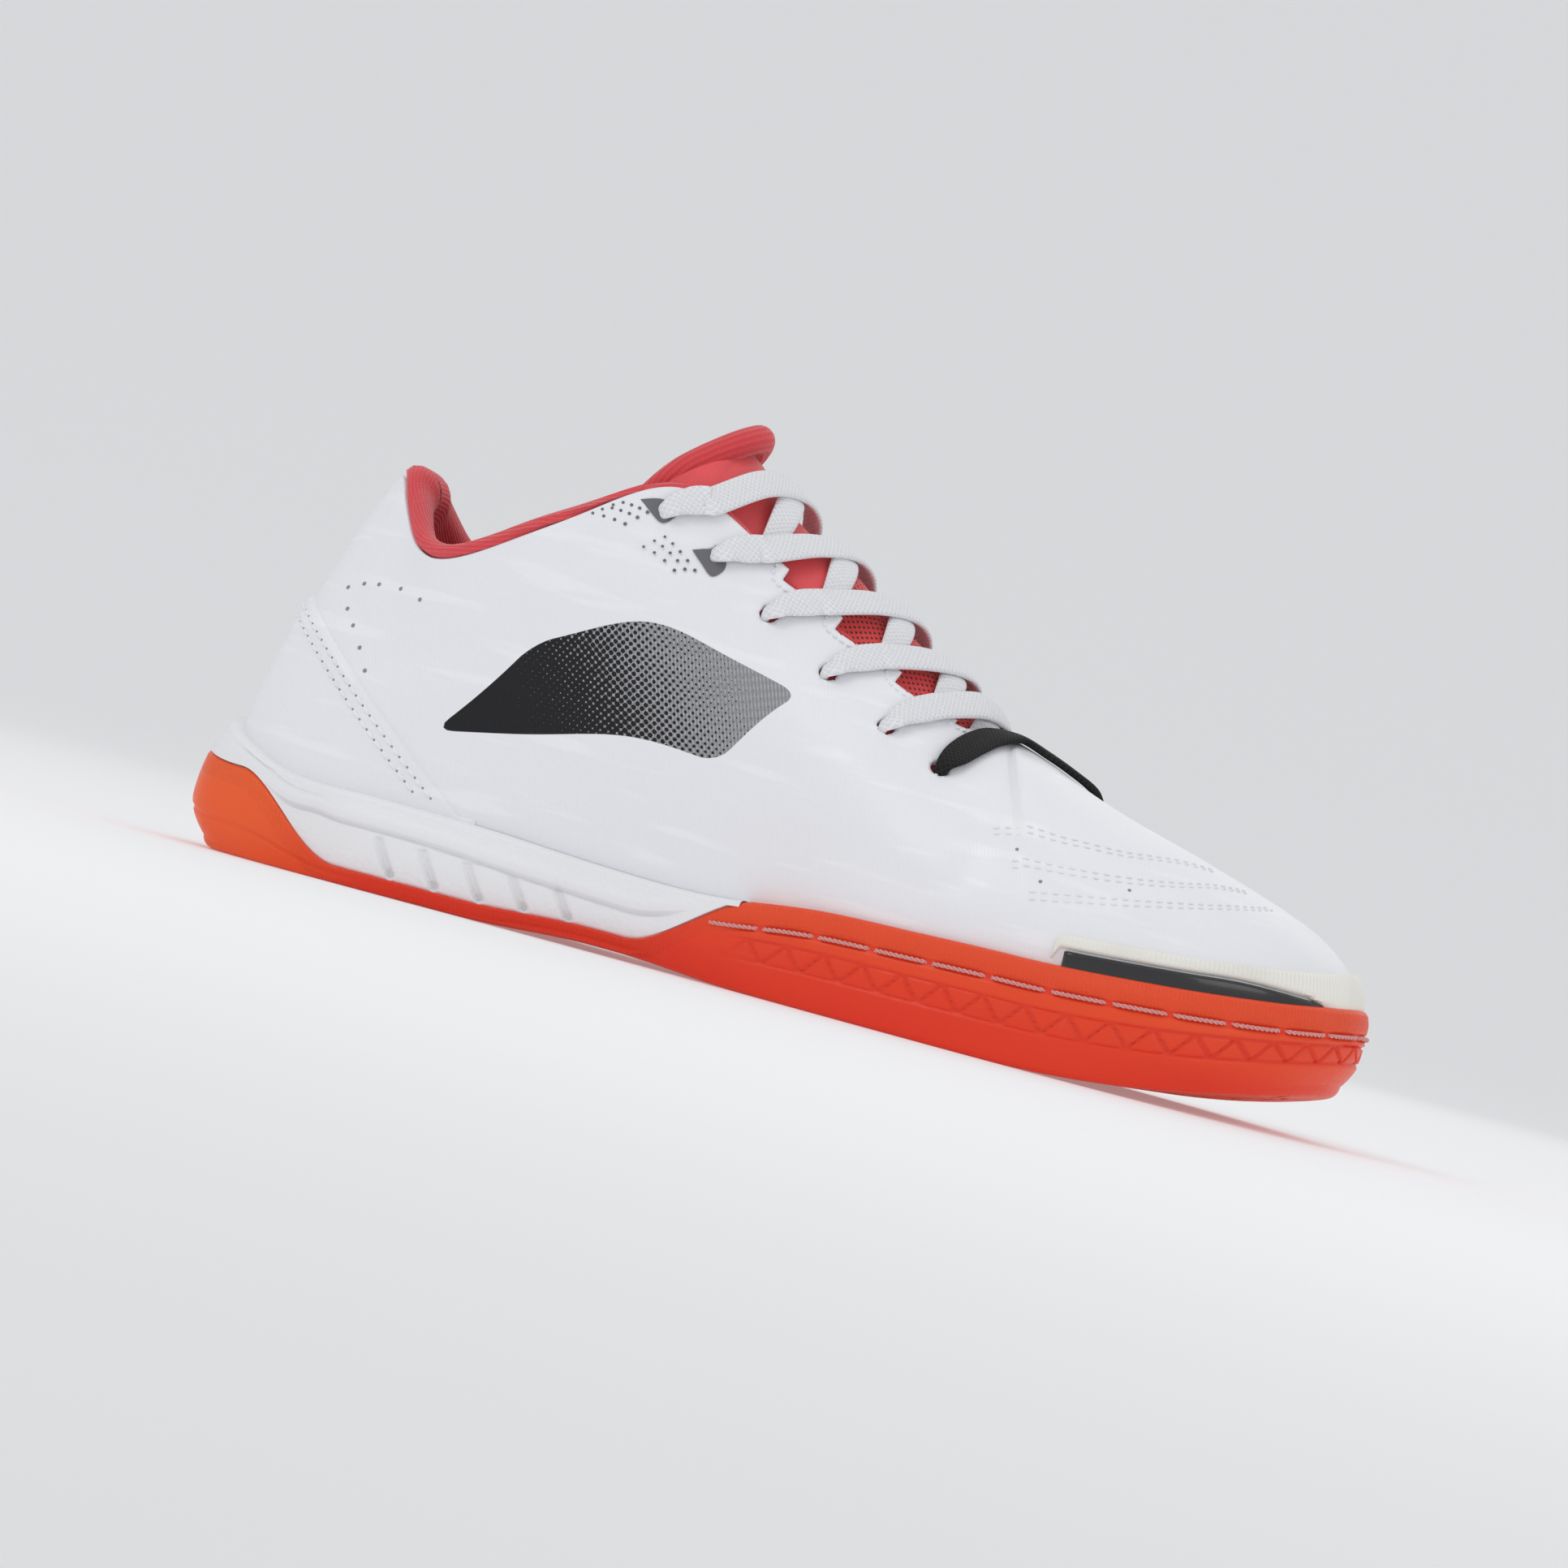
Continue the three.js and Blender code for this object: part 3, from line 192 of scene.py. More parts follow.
def low_z(r):
    """The height of the sole's lower edge."""
    return tread_z(around(PLAN_X, r), around(PLAN_Y, r))


def side_inset(r, z):
    """How far the sole's side lies in from its plan at a height: tucked below, leaning above."""
    bulge = around(BULGE, r)
    low = low_z(r)
    h = np.clip((z - low) / (rim_z(r) - low), 0, 1)
    under = around(TUCK, r) * (1 - h / bulge) ** 2
    over = around(LEAN, r) * ((h - bulge) / (1 - bulge)) ** 2
    return np.where(h < bulge, under, over)


def wrap_z(r):
    """The height up to which the rubber wraps the side."""
    at = around(PLAN_X, r) / LENGTH
    heel = low_z(r) + PLATE + HEEL_WRAP * (1 - smooth(0.055, 0.16, at))
    return lerp(heel, rim_z(r), smooth(0.41, 0.515, at))


def seat_inset(r):
    """How far in from the plan the upper's foot stands."""
    x = around(PLAN_X, r)
    foam = lerp(WRAP + CLEAR + 1.8, WRAP + 0.3, smooth(0.50, 0.62, x / LENGTH))
    return np.maximum(side_inset(r, rim_z(r)), side_inset(r, bed_z(x))) + foam


def upper_point(r, v):
    """A point of the upper's outer face: v runs from the sole's rim to the top line."""
    r, v = np.broadcast_arrays(np.asarray(r, float), np.asarray(v, float))
    foot = level_point(r, seat_inset(r) + CLEAR, rim_z(r) + CLEAR)
    shut = closed(r)
    top = np.stack([around(TOP_X, r), np.where(shut, 0, around(TOP_Y, r)), around(TOP_Z, r)], -1)
    out = outward(r)
    chord = np.linalg.norm(foot - top, axis=-1)
    start = foot.copy()
    start[..., :2] += out * (around(FLARE, r) * chord)[..., None]
    start[..., 2] += around(RISE, r) * chord
    slant = np.radians(np.where(shut, 0, around(SLANT, r)))
    reach = around(CROWN, r) * chord
    end = top.copy()
    end[..., :2] += out * (np.cos(slant) * reach)[..., None]
    end[..., 2] += (TOE_SLOPE * out[..., 0] * np.cos(slant) - np.sin(slant)) * reach
    t = v[..., None]
    return foot * (1 - t) ** 3 + 3 * start * t * (1 - t) ** 2 + 3 * end * t * t * (1 - t) + top * t**3


def upper_normal(r, v):
    """The direction away from the upper's face, eased into its ridge on the closed rows."""
    r, v = np.broadcast_arrays(np.asarray(r, float), np.asarray(v, float))
    w = np.clip(v, 0.02, 0.96)
    along = upper_point(r + 0.06, w) - upper_point(r - 0.06, w)
    up = upper_point(r, w + 0.02) - upper_point(r, w - 0.02)
    n = np.cross(along, up)
    n /= np.linalg.norm(n, axis=-1, keepdims=True)
    rise = around(TOP_Z, r + 0.1) - around(TOP_Z, r - 0.1)
    slope = rise / (around(TOP_X, r + 0.1) - around(TOP_X, r - 0.1) + 1e-9)
    slope = np.where(np.abs(np.mod(r, ROWS) - LAST_ROW) < 0.6, TOE_SLOPE, slope)
    ridge = np.stack([-slope, np.zeros_like(slope), np.ones_like(slope)], -1)
    ridge /= np.linalg.norm(ridge, axis=-1, keepdims=True)
    part = np.where(closed(r), smooth(0.96, 1.0, v), 0)[..., None]
    n = n * (1 - part) + ridge * part
    return n / np.linalg.norm(n, axis=-1, keepdims=True)


def skin(r, v, distance=0.0):
    """A point at a distance outside the upper's outer face, or inside it where that is negative."""
    return upper_point(r, v) + upper_normal(r, v) * np.asarray(distance, float)[..., None]


def share_at(r, height):
    """The share of a rib at which it passes the height that the function gives for its points."""
    low, high = np.zeros_like(r), np.ones_like(r)
    for _ in range(24):
        middle = (low + high) / 2
        p = upper_point(r, middle)
        under = p[..., 2] < height(p)
        low, high = np.where(under, middle, low), np.where(under, high, middle)
    return low


def rim_share(r, height):
    """The share of the ribs at a height over the sole's rim."""
    return share_at(r, lambda p: rim_z(r) + CLEAR + height)


def placed(points):
    """Points in the row frame, in metres."""
    return (np.asarray(points, float) - MIDDLE) / 1000


def unit(vectors):
    return vectors / (np.linalg.norm(vectors, axis=-1, keepdims=True) + 1e-12)


def spline(points, count):
    """Points spread evenly along a smooth curve through the given ones."""
    points = np.asarray(points, float)
    ends = np.concatenate([[2 * points[0] - points[1]], points, [2 * points[-1] - points[-2]]])
    t = np.linspace(0, len(points) - 1, 24 * len(points))
    i = np.minimum(t.astype(int), len(points) - 2)
    f = (t - i)[:, None]
    fine = curve(*(ends[i + k] for k in range(4)), f)
    run = running(fine[:, :3])
    return resampled(np.linspace(0, run[-1], count), run, fine)


def line_distance(x, y, line):
    """How far points lie from a line of corners."""
    near = np.full(np.shape(x), 1e9)
    for (ax, ay), (bx, by) in zip(line[:-1], line[1:]):
        t = np.clip(((x - ax) * (bx - ax) + (y - ay) * (by - ay)) / ((bx - ax) ** 2 + (by - ay) ** 2), 0, 1)
        near = np.minimum(near, np.hypot(x - ax - t * (bx - ax), y - ay - t * (by - ay)))
    return near


def inside(x, y, outline):
    """How far points lie inside a closed outline, in its own unit, and less than zero outside it."""
    outline = np.asarray(outline, float)
    within = np.zeros(np.shape(x), bool)
    for (ax, ay), (bx, by) in zip(outline, np.roll(outline, -1, 0)):
        crosses = (ay > y) != (by > y)
        within ^= crosses & (x < (bx - ax) * (y - ay) / (by - ay + 1e-12) + ax)
    near = line_distance(x, y, np.concatenate([outline, outline[:1]]))
    return np.where(within, near, -near)


class Form:
    """Grids of points that become one mesh. Each point has a place on the cloth in millimetres, uv, and
    a value from 0 to 1, ink, that its material may read: the print's cover on the upper, and on the
    sole the depth of its grooves, which the rubber paints a deeper red as painted shade."""

    def __init__(self):
        self.points, self.uv, self.ink, self.faces, self.count = [], [], [], [], 0

    def add(self, points, faces, uv, ink=0.0):
        points = np.asarray(points, float).reshape(-1, 3)
        self.points.append(points)
        self.uv.append(np.asarray(uv, float).reshape(-1, 2))
        self.ink.append(np.broadcast_to(ink, points.shape[:1]) if np.ndim(ink) == 0 else np.ravel(ink))
        self.faces.extend((np.asarray(faces) + self.count).tolist())
        self.count += len(points)

    def grid(self, points, uv=None, ink=0.0, keep=None, flip=False):
        rows, columns = points.shape[:2]
        index = np.arange(rows * columns).reshape(rows, columns)
        quads = np.stack([index[:-1, :-1], index[1:, :-1], index[1:, 1:], index[:-1, 1:]], -1)
        if flip:
            quads = quads[..., ::-1]
        quads = quads.reshape(-1, 4) if keep is None else quads[keep]
        self.add(points, quads, lengths(points) if uv is None else uv, ink)

    def fan(self, centre, ring):
        """A flat disc: a ring of points round a centre."""
        n = len(ring)
        faces = [(0, 1 + k, 1 + (k + 1) % n) for k in range(n)]
        self.add(np.concatenate([[centre], ring]), faces, np.zeros((n + 1, 2)))

    def tube(self, path, radius, sides, across=(0.31, 0.17, 0.93)):
        """A round cord along a path, closed at both ends. It doesn't run along the direction across."""
        path = np.asarray(path, float)
        along = unit(np.gradient(path, axis=0))
        up = unit(np.cross(along, across))
        side = np.cross(along, up)
        turn = np.linspace(0, 2 * np.pi, sides + 1)
        radius = np.broadcast_to(radius, len(path))[:, None, None]
        ring = np.cos(turn)[None, :, None] * up[:, None] + np.sin(turn)[None, :, None] * side[:, None]
        points = path[:, None] + radius * ring
        first, last = (np.repeat(path[k][None, None], sides + 1, 1) for k in (0, -1))
        self.grid(np.concatenate([first, points, last]))


def lengths(points):
    """The running lengths of a grid of points both ways, in millimetres."""
    along, over = np.zeros(points.shape[:2]), np.zeros(points.shape[:2])
    along[1:] = np.cumsum(np.linalg.norm(np.diff(points, axis=0), axis=2), axis=0)
    over[:, 1:] = np.cumsum(np.linalg.norm(np.diff(points, axis=1), axis=2), axis=1)
    return np.stack([np.broadcast_to(along[:, points.shape[1] // 2][:, None], over.shape), over], -1)


def make(name, form, look, nodes=(), solid=False, sharp=50, weld=0.003):
    """One piece from a form: welded, smooth but for its sharp edges, and riding on the shoe."""
    data = bpy.data.meshes.new(name)
    data.from_pydata(placed(np.concatenate(form.points)).tolist(), [], form.faces)
    corners = np.empty(len(data.loops), np.int32)
    data.loops.foreach_get("vertex_index", corners)
    layer = data.uv_layers.new(name="cloth")
    layer.data.foreach_set("uv", np.concatenate(form.uv)[corners].astype(np.float32).ravel())
    value = data.attributes.new("ink", "FLOAT", "POINT")
    value.data.foreach_set("value", np.concatenate(form.ink).astype(np.float32))
    mesh = bmesh.new()
    mesh.from_mesh(data)
    bmesh.ops.remove_doubles(mesh, verts=mesh.verts, dist=weld / 1000)
    bmesh.ops.dissolve_degenerate(mesh, edges=mesh.edges, dist=1e-7)
    if solid:
        bmesh.ops.recalc_face_normals(mesh, faces=mesh.faces)
    mesh.to_mesh(data)
    mesh.free()
    data.shade_smooth()
    data.set_sharp_from_angle(angle=math.radians(sharp))
    data.materials.append(look.material)
    piece = bpy.data.objects.new(name, data)
    bpy.context.scene.collection.objects.link(piece)
    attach(piece, "root")
    if nodes:
        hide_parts(*nodes)
    return piece


def applied(piece, kind, **settings):
    """A modifier put on a piece and applied."""
    modifier = piece.modifiers.new(kind.lower(), kind)
    for key, value in settings.items():
        setattr(modifier, key, value)
    bpy.context.view_layer.objects.active = piece
    bpy.ops.object.modifier_apply(modifier=modifier.name)


class Look:
    """A Principled material, with short calls for the nodes that drive it."""

    def __init__(self, name, color, roughness, **values):
        self.material = bpy.data.materials.new(name)
        self.material.use_nodes = True
        self.tree = self.material.node_tree
        self.shader = self.tree.nodes["Principled BSDF"]
        self.set(Base_Color=(*color, 1.0), Roughness=roughness, **values)

    def put(self, socket, value):
        if isinstance(value, bpy.types.NodeSocket):
            self.tree.links.new(value, socket)
        else:
            socket.default_value = value

    def set(self, **values):
        for key, value in values.items():
            self.put(self.shader.inputs[key.replace("_", " ")], value)

    def add(self, kind, settings=(), **values):
        node = self.tree.nodes.new("ShaderNode" + kind)
        for key, value in dict(settings).items():
            setattr(node, key, value)
        for key, value in values.items():
            self.put(node.inputs[key.replace("_", " ")], value)
        return node

    def math(self, operation, *values):
        node = self.add("Math", {"operation": operation})
        for socket, value in zip(node.inputs, values):
            self.put(socket, value)
        return node.outputs[0]

    def space(self):
        return self.add("TexCoord").outputs["Object"]

    def cloth(self):
        return self.add("UVMap", {"uv_map": "cloth"}).outputs[0]

    def ink(self):
        return self.add("Attribute", {"attribute_name": "ink"}).outputs["Fac"]

    def scaled(self, vector, scale, turn=0.0):
        node = self.add("Mapping", Vector=vector, Scale=scale)
        node.inputs["Rotation"].default_value = (0, 0, turn)
        return node.outputs[0]

    def noise(self, vector, scale, detail=3.0):
        return self.add("TexNoise", Vector=vector, Scale=scale, Detail=detail, Roughness=0.55).outputs[0]

    def cells(self, vector, scale, random=1.0):
        return self.add("TexVoronoi", Vector=vector, Scale=scale, Randomness=random).outputs["Distance"]

    def dots(self, pitch, degrees):
        """How far the cloth's points lie from a turned net of dots, whose pitch is in millimetres."""
        net = self.scaled(self.cloth(), (1 / pitch, 1 / pitch, 1), math.radians(degrees))
        node = self.add("TexVoronoi", {"voronoi_dimensions": "2D"}, Vector=net, Scale=1.0, Randomness=0.0)
        return node.outputs["Distance"]

    def lines(self, vector, direction, period):
        """A sine wave from 0 to 1 across a direction, with its period in the vector's unit."""
        length = math.sqrt(sum(v * v for v in direction))
        waves = [v * 2 * math.pi / (period * length) for v in direction]
        dot = self.add("VectorMath", {"operation": "DOT_PRODUCT"})
        self.put(dot.inputs[0], vector)
        self.put(dot.inputs[1], waves)
        return self.math("MULTIPLY_ADD", self.math("SINE", dot.outputs["Value"]), 0.5, 0.5)

    def ramp(self, value, low, high, start=0.0, end=1.0):
        node = self.add("MapRange", {"interpolation_type": "SMOOTHSTEP"})
        for socket, v in zip(node.inputs, (value, low, high, start, end)):
            self.put(socket, v)
        return node.outputs[0]

    def mix(self, share, a, b):
        node = self.add("Mix", {"data_type": "RGBA"})
        for k, v in ((0, share), (6, a), (7, b)):
            self.put(node.inputs[k], (*v, 1.0) if isinstance(v, tuple) and len(v) == 3 else v)
        return node.outputs[2]

    def bump(self, height, distance, normal=None):
        """A bump whose distance is in millimetres."""
        node = self.add("Bump", Height=height, Distance=distance / 1000)
        if normal is not None:
            self.put(node.inputs["Normal"], normal)
        self.set(Normal=node.outputs[0])
        return node.outputs[0]


# The materials.
WHITE, CORAL = (0.86, 0.87, 0.90), (0.86, 0.085, 0.10)
PRINT_PITCH, MESH_PITCH = 1.35, 1.5


def dimmed(color, share):
    return tuple(c * share for c in color)


def film(name, printed=False):
    """The coated white of the upper: a fine slanting twill under a clear film with glossy streaks."""
    look = Look(name, WHITE, 0.4, Coat_Weight=0.2, Coat_Roughness=0.3)
    space = look.space()
    twill = look.lines(space, (0.92, 0.2, 0.34), 0.00085)
    floats = look.lines(space, (-0.35, 0.3, 0.9), 0.0021)
    weave = look.math("MULTIPLY", twill, look.ramp(floats, 0.0, 1.0, 0.55, 1.0))
    streaks = look.ramp(look.noise(look.scaled(space, (26, 26, 210)), 1.0, 2.0), 0.55, 0.68)
    rough = look.ramp(streaks, 0, 1, 0.43, 0.3)
    height = look.math("MULTIPLY_ADD", look.noise(space, 1500), 0.25, weave)
    soft = look.bump(look.noise(space, 60, 2), 0.35)
    look.bump(height, 0.028, soft)
    base = look.mix(streaks, WHITE, (0.9, 0.91, 0.935))
    if printed:
        axes = look.add("SeparateXYZ", Vector=space).outputs
        along = look.math("MULTIPLY_ADD", axes[2], 0.8, axes[0])
        fade = look.ramp(along, -0.035, 0.075, -0.1, 0.75)
        thin = look.math("MULTIPLY_ADD", look.noise(space, 900, 3), 0.3, fade)
        dots = look.dots(PRINT_PITCH, 38)
        black = look.ramp(look.math("SUBTRACT", look.math("SUBTRACT", 0.8, thin), dots), -0.05, 0.05)
        # The silver is painted lighter on the weave's raised threads and darker between them: painted
        # highlight and shade.
        silver = look.mix(weave, (0.25, 0.25, 0.26), (0.42, 0.425, 0.44))
        cover = look.ramp(look.ink(), 0.498, 0.506)
        base = look.mix(cover, base, look.mix(black, silver, (0.012, 0.012, 0.015)))
        rough = look.math("MULTIPLY_ADD", cover, 0.06, rough)
        look.set(Specular_IOR_Level=look.ramp(cover, 0, 1, 0.5, 0.25))
        look.set(Coat_Weight=look.ramp(cover, 0, 1, 0.2, 0.0))
    look.set(Base_Color=base, Roughness=rough)
    return look


def knit(name, color, period=1.1):
    """Brushed knit with ribs along the cloth, their period in millimetres."""
    look = Look(name, color, 0.85, Sheen_Weight=0.35, Sheen_Roughness=0.4)
    cloth, space = look.cloth(), look.space()
    ribs = look.lines(cloth, (0, 1, 0), period)
    loops = look.lines(cloth, (1, 0.5, 0), 0.8)
    fuzz = look.noise(space, 1600, 4)
    height = look.math("ADD", look.math("MULTIPLY", ribs, 0.7), look.math("MULTIPLY", loops, 0.25))
    look.bump(look.math("MULTIPLY_ADD", fuzz, 0.5, height), 0.22)
    # The rib valleys are painted darker: painted shade; the fuzz adds a random tone.
    shade = look.math("MULTIPLY", look.ramp(ribs, 0, 1, 0.35, 1), look.ramp(fuzz, 0.25, 0.7, 0.55, 1))
    look.set(Base_Color=look.mix(shade, dimmed(color, 0.72), color))
    return look


def satin(name, color):
    """Smooth satin with a fine square weave and soft clouds."""
    look = Look(name, color, 0.5, Sheen_Weight=0.4, Sheen_Roughness=0.35, Specular_IOR_Level=0.4)
    cloth = look.cloth()
    weave = look.math("MULTIPLY", look.lines(cloth, (1, 0, 0), 0.45), look.lines(cloth, (0, 1, 0), 0.6))
    cloud = look.noise(look.space(), 45, 2)
    look.bump(look.math("MULTIPLY_ADD", cloud, 1.5, weave), 0.06)
    look.set(Base_Color=look.mix(look.ramp(cloud, 0.35, 0.65), dimmed(color, 0.8), color))
    return look


def mesh_cloth(name, color):
    """Open sports mesh: rows of small holes, not cut but painted near black: painted shade inside them."""
    look = Look(name, color, 0.7, Sheen_Weight=0.25)
    solid = look.ramp(look.dots(MESH_PITCH, 45), 0.2, 0.3)
    look.bump(solid, 0.35)
    # The holes get a near-black colour: painted shade.
    look.set(Base_Color=look.mix(solid, dimmed(color, 0.16), color))
    return look


def flat_weave(name, color, dark, rough=0.75, cell=1.05, sheen=0.25):
    """The braid of a flat lace: two slanting sets of strands over and under each other, with painted shade
    between them.
    """
    look = Look(name, color, rough, Sheen_Weight=sheen, Sheen_Roughness=0.5, Specular_IOR_Level=0.3)
    cloth = look.cloth()
    a, b = (look.lines(cloth, (1, s, 0), cell) for s in (0.9, -0.9))
    strands = look.math("MAXIMUM", look.math("POWER", a, 2.0), look.math("POWER", b, 2.0))
    fuzz = look.noise(look.space(), 2500, 3)
    look.bump(look.math("MULTIPLY_ADD", fuzz, 0.35, strands), 0.2)
    # Strands keep the colour, the gaps between them get the dark colour: painted shade; the fuzz adds a
    # random tone.
    lit = look.math("MULTIPLY", strands, look.ramp(fuzz, 0.2, 0.6, 0.7, 1))
    look.set(Base_Color=look.mix(lit, dark, color))
    return look


def foam(name, color):
    """Moulded foam with a fine pebbled skin."""
    look = Look(name, color, 0.5, Subsurface_Weight=0.08, Subsurface_Radius=(0.001, 0.001, 0.001))
    space = look.space()
    pebbles = look.cells(space, 780, 0.9)
    cloud = look.noise(space, 18, 3)
    look.bump(look.math("MULTIPLY_ADD", cloud, 1.2, pebbles), 0.1)
    look.set(Roughness=look.ramp(cloud, 0.3, 0.7, 0.44, 0.58))
    look.set(Base_Color=look.mix(look.ramp(cloud, 0.3, 0.7), color, dimmed(color, 0.965)))
    return look


RED_RUBBER, ORANGE_RUBBER, SALMON = (0.80, 0.030, 0.008), (0.86, 0.075, 0.018), (0.88, 0.105, 0.045)
WORN_RUBBER = (0.13, 0.075, 0.06)


def rubber(name, tread=False):
    """Gum rubber: light enters it, so thin edges glow. The sunk parts are painted a deeper red: painted
    shade.
    """
    normal = None
    look = Look(name, ORANGE_RUBBER, 0.4, Subsurface_Weight=0.2, Subsurface_Radius=(0.005, 0.0012, 0.0004),
                Specular_IOR_Level=0.3)
    space = look.space()
    cloud = look.noise(space, 16, 3)
    specks = look.noise(space, 700, 3)
    axes = look.add("SeparateXYZ", Vector=space).outputs
    if tread:
        deep = look.ramp(look.ink(), 0.05, 0.75)
        dust = look.ramp(specks, 0.35, 0.65)
        top = look.mix(look.math("MULTIPLY", dust, 0.3), SALMON, (0.88, 0.17, 0.10))
        # The tread's cut parts are painted a deeper red: painted shade in the grooves.
        base = look.mix(deep, top, RED_RUBBER)
        heel = look.math("MULTIPLY", look.ramp(axes[0], -0.09, -0.05, 1, 0), deep)
        base = look.mix(heel, base, (0.88, 0.11, 0.015))
        front, back = look.ramp(axes[0], 0.035, 0.075, 1, 0), look.ramp(axes[0], -0.085, -0.06)
        waist = look.math("MULTIPLY", back, front)
        smear = look.ramp(look.noise(look.scaled(space, (26, 60, 26), 0.6), 1.0, 2.0), 0.49, 0.58)
        worn = look.math("MULTIPLY", look.math("MULTIPLY", waist, smear), look.ramp(deep, 0, 1, 0.85, 0.25))
        base = look.mix(worn, base, WORN_RUBBER)
        rough = look.ramp(deep, 0, 1, 0.5, 0.3)
    else:
        low = look.ramp(axes[2], 0.006, 0.02)
        base = look.mix(low, RED_RUBBER, ORANGE_RUBBER)
        # The side's grooves are painted a deeper red: painted shade.
        base = look.mix(look.ramp(look.ink(), 0.1, 0.8), base, (0.80, 0.035, 0.010))
        back = look.ramp(axes[0], -0.125, -0.085, 1, 0)
        base = look.mix(look.math("MULTIPLY", back, 0.8), base, (0.92, 0.15, 0.03))
        rough = look.ramp(specks, 0.3, 0.7, 0.32, 0.46)
        cloth = look.cloth()
        below = look.add("SeparateXYZ", Vector=cloth).outputs[1]
        strip = look.math("MULTIPLY", look.ramp(below, 0.5, 0.9), look.ramp(below, 4.4, 4.9, 1, 0))
        normal = look.bump(look.math("MULTIPLY", look.lines(cloth, (1, 0, 0), 1.0), strip), 0.16)
    tint = look.math("MULTIPLY", cloud, 0.4)
    look.set(Base_Color=look.mix(tint, base, (0.88, 0.095, 0.03)), Roughness=rough)
    look.bump(look.math("MULTIPLY_ADD", specks, 0.3, cloud), 0.12, normal)
    return look


def plain(name, color, rough, bump=0.05, **values):
    """A moulded or coated surface with a little grain and cloudiness."""
    look = Look(name, color, rough, **values)
    space = look.space()
    cloud, grain = look.noise(space, 40, 2), look.noise(space, 1400, 3)
    look.bump(look.math("MULTIPLY_ADD", grain, 0.5, cloud), bump)
    look.set(Base_Color=look.mix(look.ramp(cloud, 0.35, 0.65), color, dimmed(color, 0.93)))
    look.set(Roughness=look.ramp(grain, 0.3, 0.7, rough * 0.88, rough * 1.12))
    return look


FILM, PRINTED = film("coated_white"), film("coated_white_printed", printed=True)
LINING = knit("coral_knit", CORAL)
INSIDE = knit("inner_knit", (0.72, 0.06, 0.07), 1.6)
SATIN, OPEN_MESH = satin("coral_satin", (0.87, 0.095, 0.105)), mesh_cloth("red_mesh", (0.80, 0.05, 0.05))
BINDING = knit("binding_knit", (0.80, 0.065, 0.075), 1.5)
LACE = flat_weave("white_braid", (0.93, 0.935, 0.95), (0.78, 0.79, 0.83))
BLACK_BRAID = flat_weave("black_braid", (0.016, 0.015, 0.015), (0.003, 0.003, 0.003), 0.7, sheen=0.0)
FOAM = foam("white_foam", (0.87, 0.875, 0.89))
SIDE_RUBBER, TREAD_RUBBER = rubber("rubber_side"), rubber("rubber_tread", tread=True)
CREAM = plain("cream_rubber", (0.89, 0.875, 0.81), 0.45)
GLOSS_BLACK = plain("black_gloss", (0.010, 0.010, 0.012), 0.2, 0.02, Coat_Weight=0.5)
GREY_INK = plain("grey_ink", (0.16, 0.16, 0.17), 0.5, 0.02, Specular_IOR_Level=0.3)
# Grey for the pierced holes and needle holes, drawn as flat discs: painted shade standing in for the holes.
HOLE_SHADE = plain("pierced", (0.30, 0.30, 0.34), 0.8, Specular_IOR_Level=0.2)
THREAD = plain("white_thread", (0.90, 0.905, 0.93), 0.6, 0.01)
PINK_THREAD = flat_weave("pink_thread", (0.95, 0.50, 0.48), (0.86, 0.28, 0.26), cell=0.5)
INSOLE_CLOTH = knit("insole_knit", (0.62, 0.045, 0.045), 0.9)

# The upper's outer sheet, with its lace holes and the cut-outs along the throat.
EYELETS, EYELET_R = 6, 2.3
EYELET_ROWS = np.linspace(5.97, 9.05, EYELETS)
THROAT_ROWS = (5.5, 9.6)
# Each notch in the throat's edge: its first and last row, and the share that it starts from.
NOTCHES = [(7.19, 7.66, 0.955), (7.73, 8.19, 0.94), (8.36, 8.78, 0.935), (9.03, 9.35, 0.972)]
# The sheet's thickness, and about how long a row's step and a whole rib are.
SHEET, ROW_MM, RIB_MM = 1.7, 24.0, 88.0
# The printed panel: its middle as (row, share), its half sizes, corners and soft edge in millimetres.
PANEL_ROW, PANEL_SHARE = 5.95, 0.47
PANEL_LONG, PANEL_HIGH, PANEL_CORNER, PANEL_BLUR = 26, 9, 4, 30
PANEL_LEAN, PANEL_RISE = 2.4, 0.015


def side_row(r):
    """The row on the outer side that a row mirrors."""
    return np.minimum(r, opposite(r))


def both(r):
    """Rows of the outer side, and those of the inner side that mirror them."""
    return r, opposite(r)


def eyelet_share(r):
    """The share of the ribs at the row of lace holes."""
    along = (side_row(r) - EYELET_ROWS[0]) / (EYELET_ROWS[-1] - EYELET_ROWS[0])
    return lerp(0.925, 0.68, along)


def trough(r, v, line, depth, width):
    """A soft trough along a line of (row, share) points, and the width is in millimetres."""
    near = line_distance(r * ROW_MM, v * RIB_MM, np.array(line) * (ROW_MM, RIB_MM))
    return -depth * np.exp(-((near / width) ** 2))


# The creases of the upper, as lines of (row, share), with the depth and the width of each.
CREASES = [
    ([(9.35, 0.20), (9.75, 0.55), (10.1, 0.90)], 0.45, 4.5),
    ([(10.3, 0.35), (10.6, 0.75), (10.8, 0.97)], 0.35, 4.5),
    ([(2.3, 0.40), (3.3, 0.55), (4.4, 0.62)], 0.35, 7.0),
    ([(3.4, 0.20), (4.6, 0.30), (5.4, 0.22)], 0.3, 7.0),
    ([(5.4, 0.86), (6.6, 0.74), (7.6, 0.66), (8.8, 0.57)], 0.35, 6.0),
    ([(6.9, 0.10), (8.0, 0.22), (9.0, 0.16)], 0.3, 6.0),
    ([(4.6, 0.97), (4.4, 0.80), (4.9, 0.64)], 0.3, 5.0),
    ([(1.2, 0.9), (1.6, 0.7), (2.6, 0.6)], 0.25, 5.0),
]


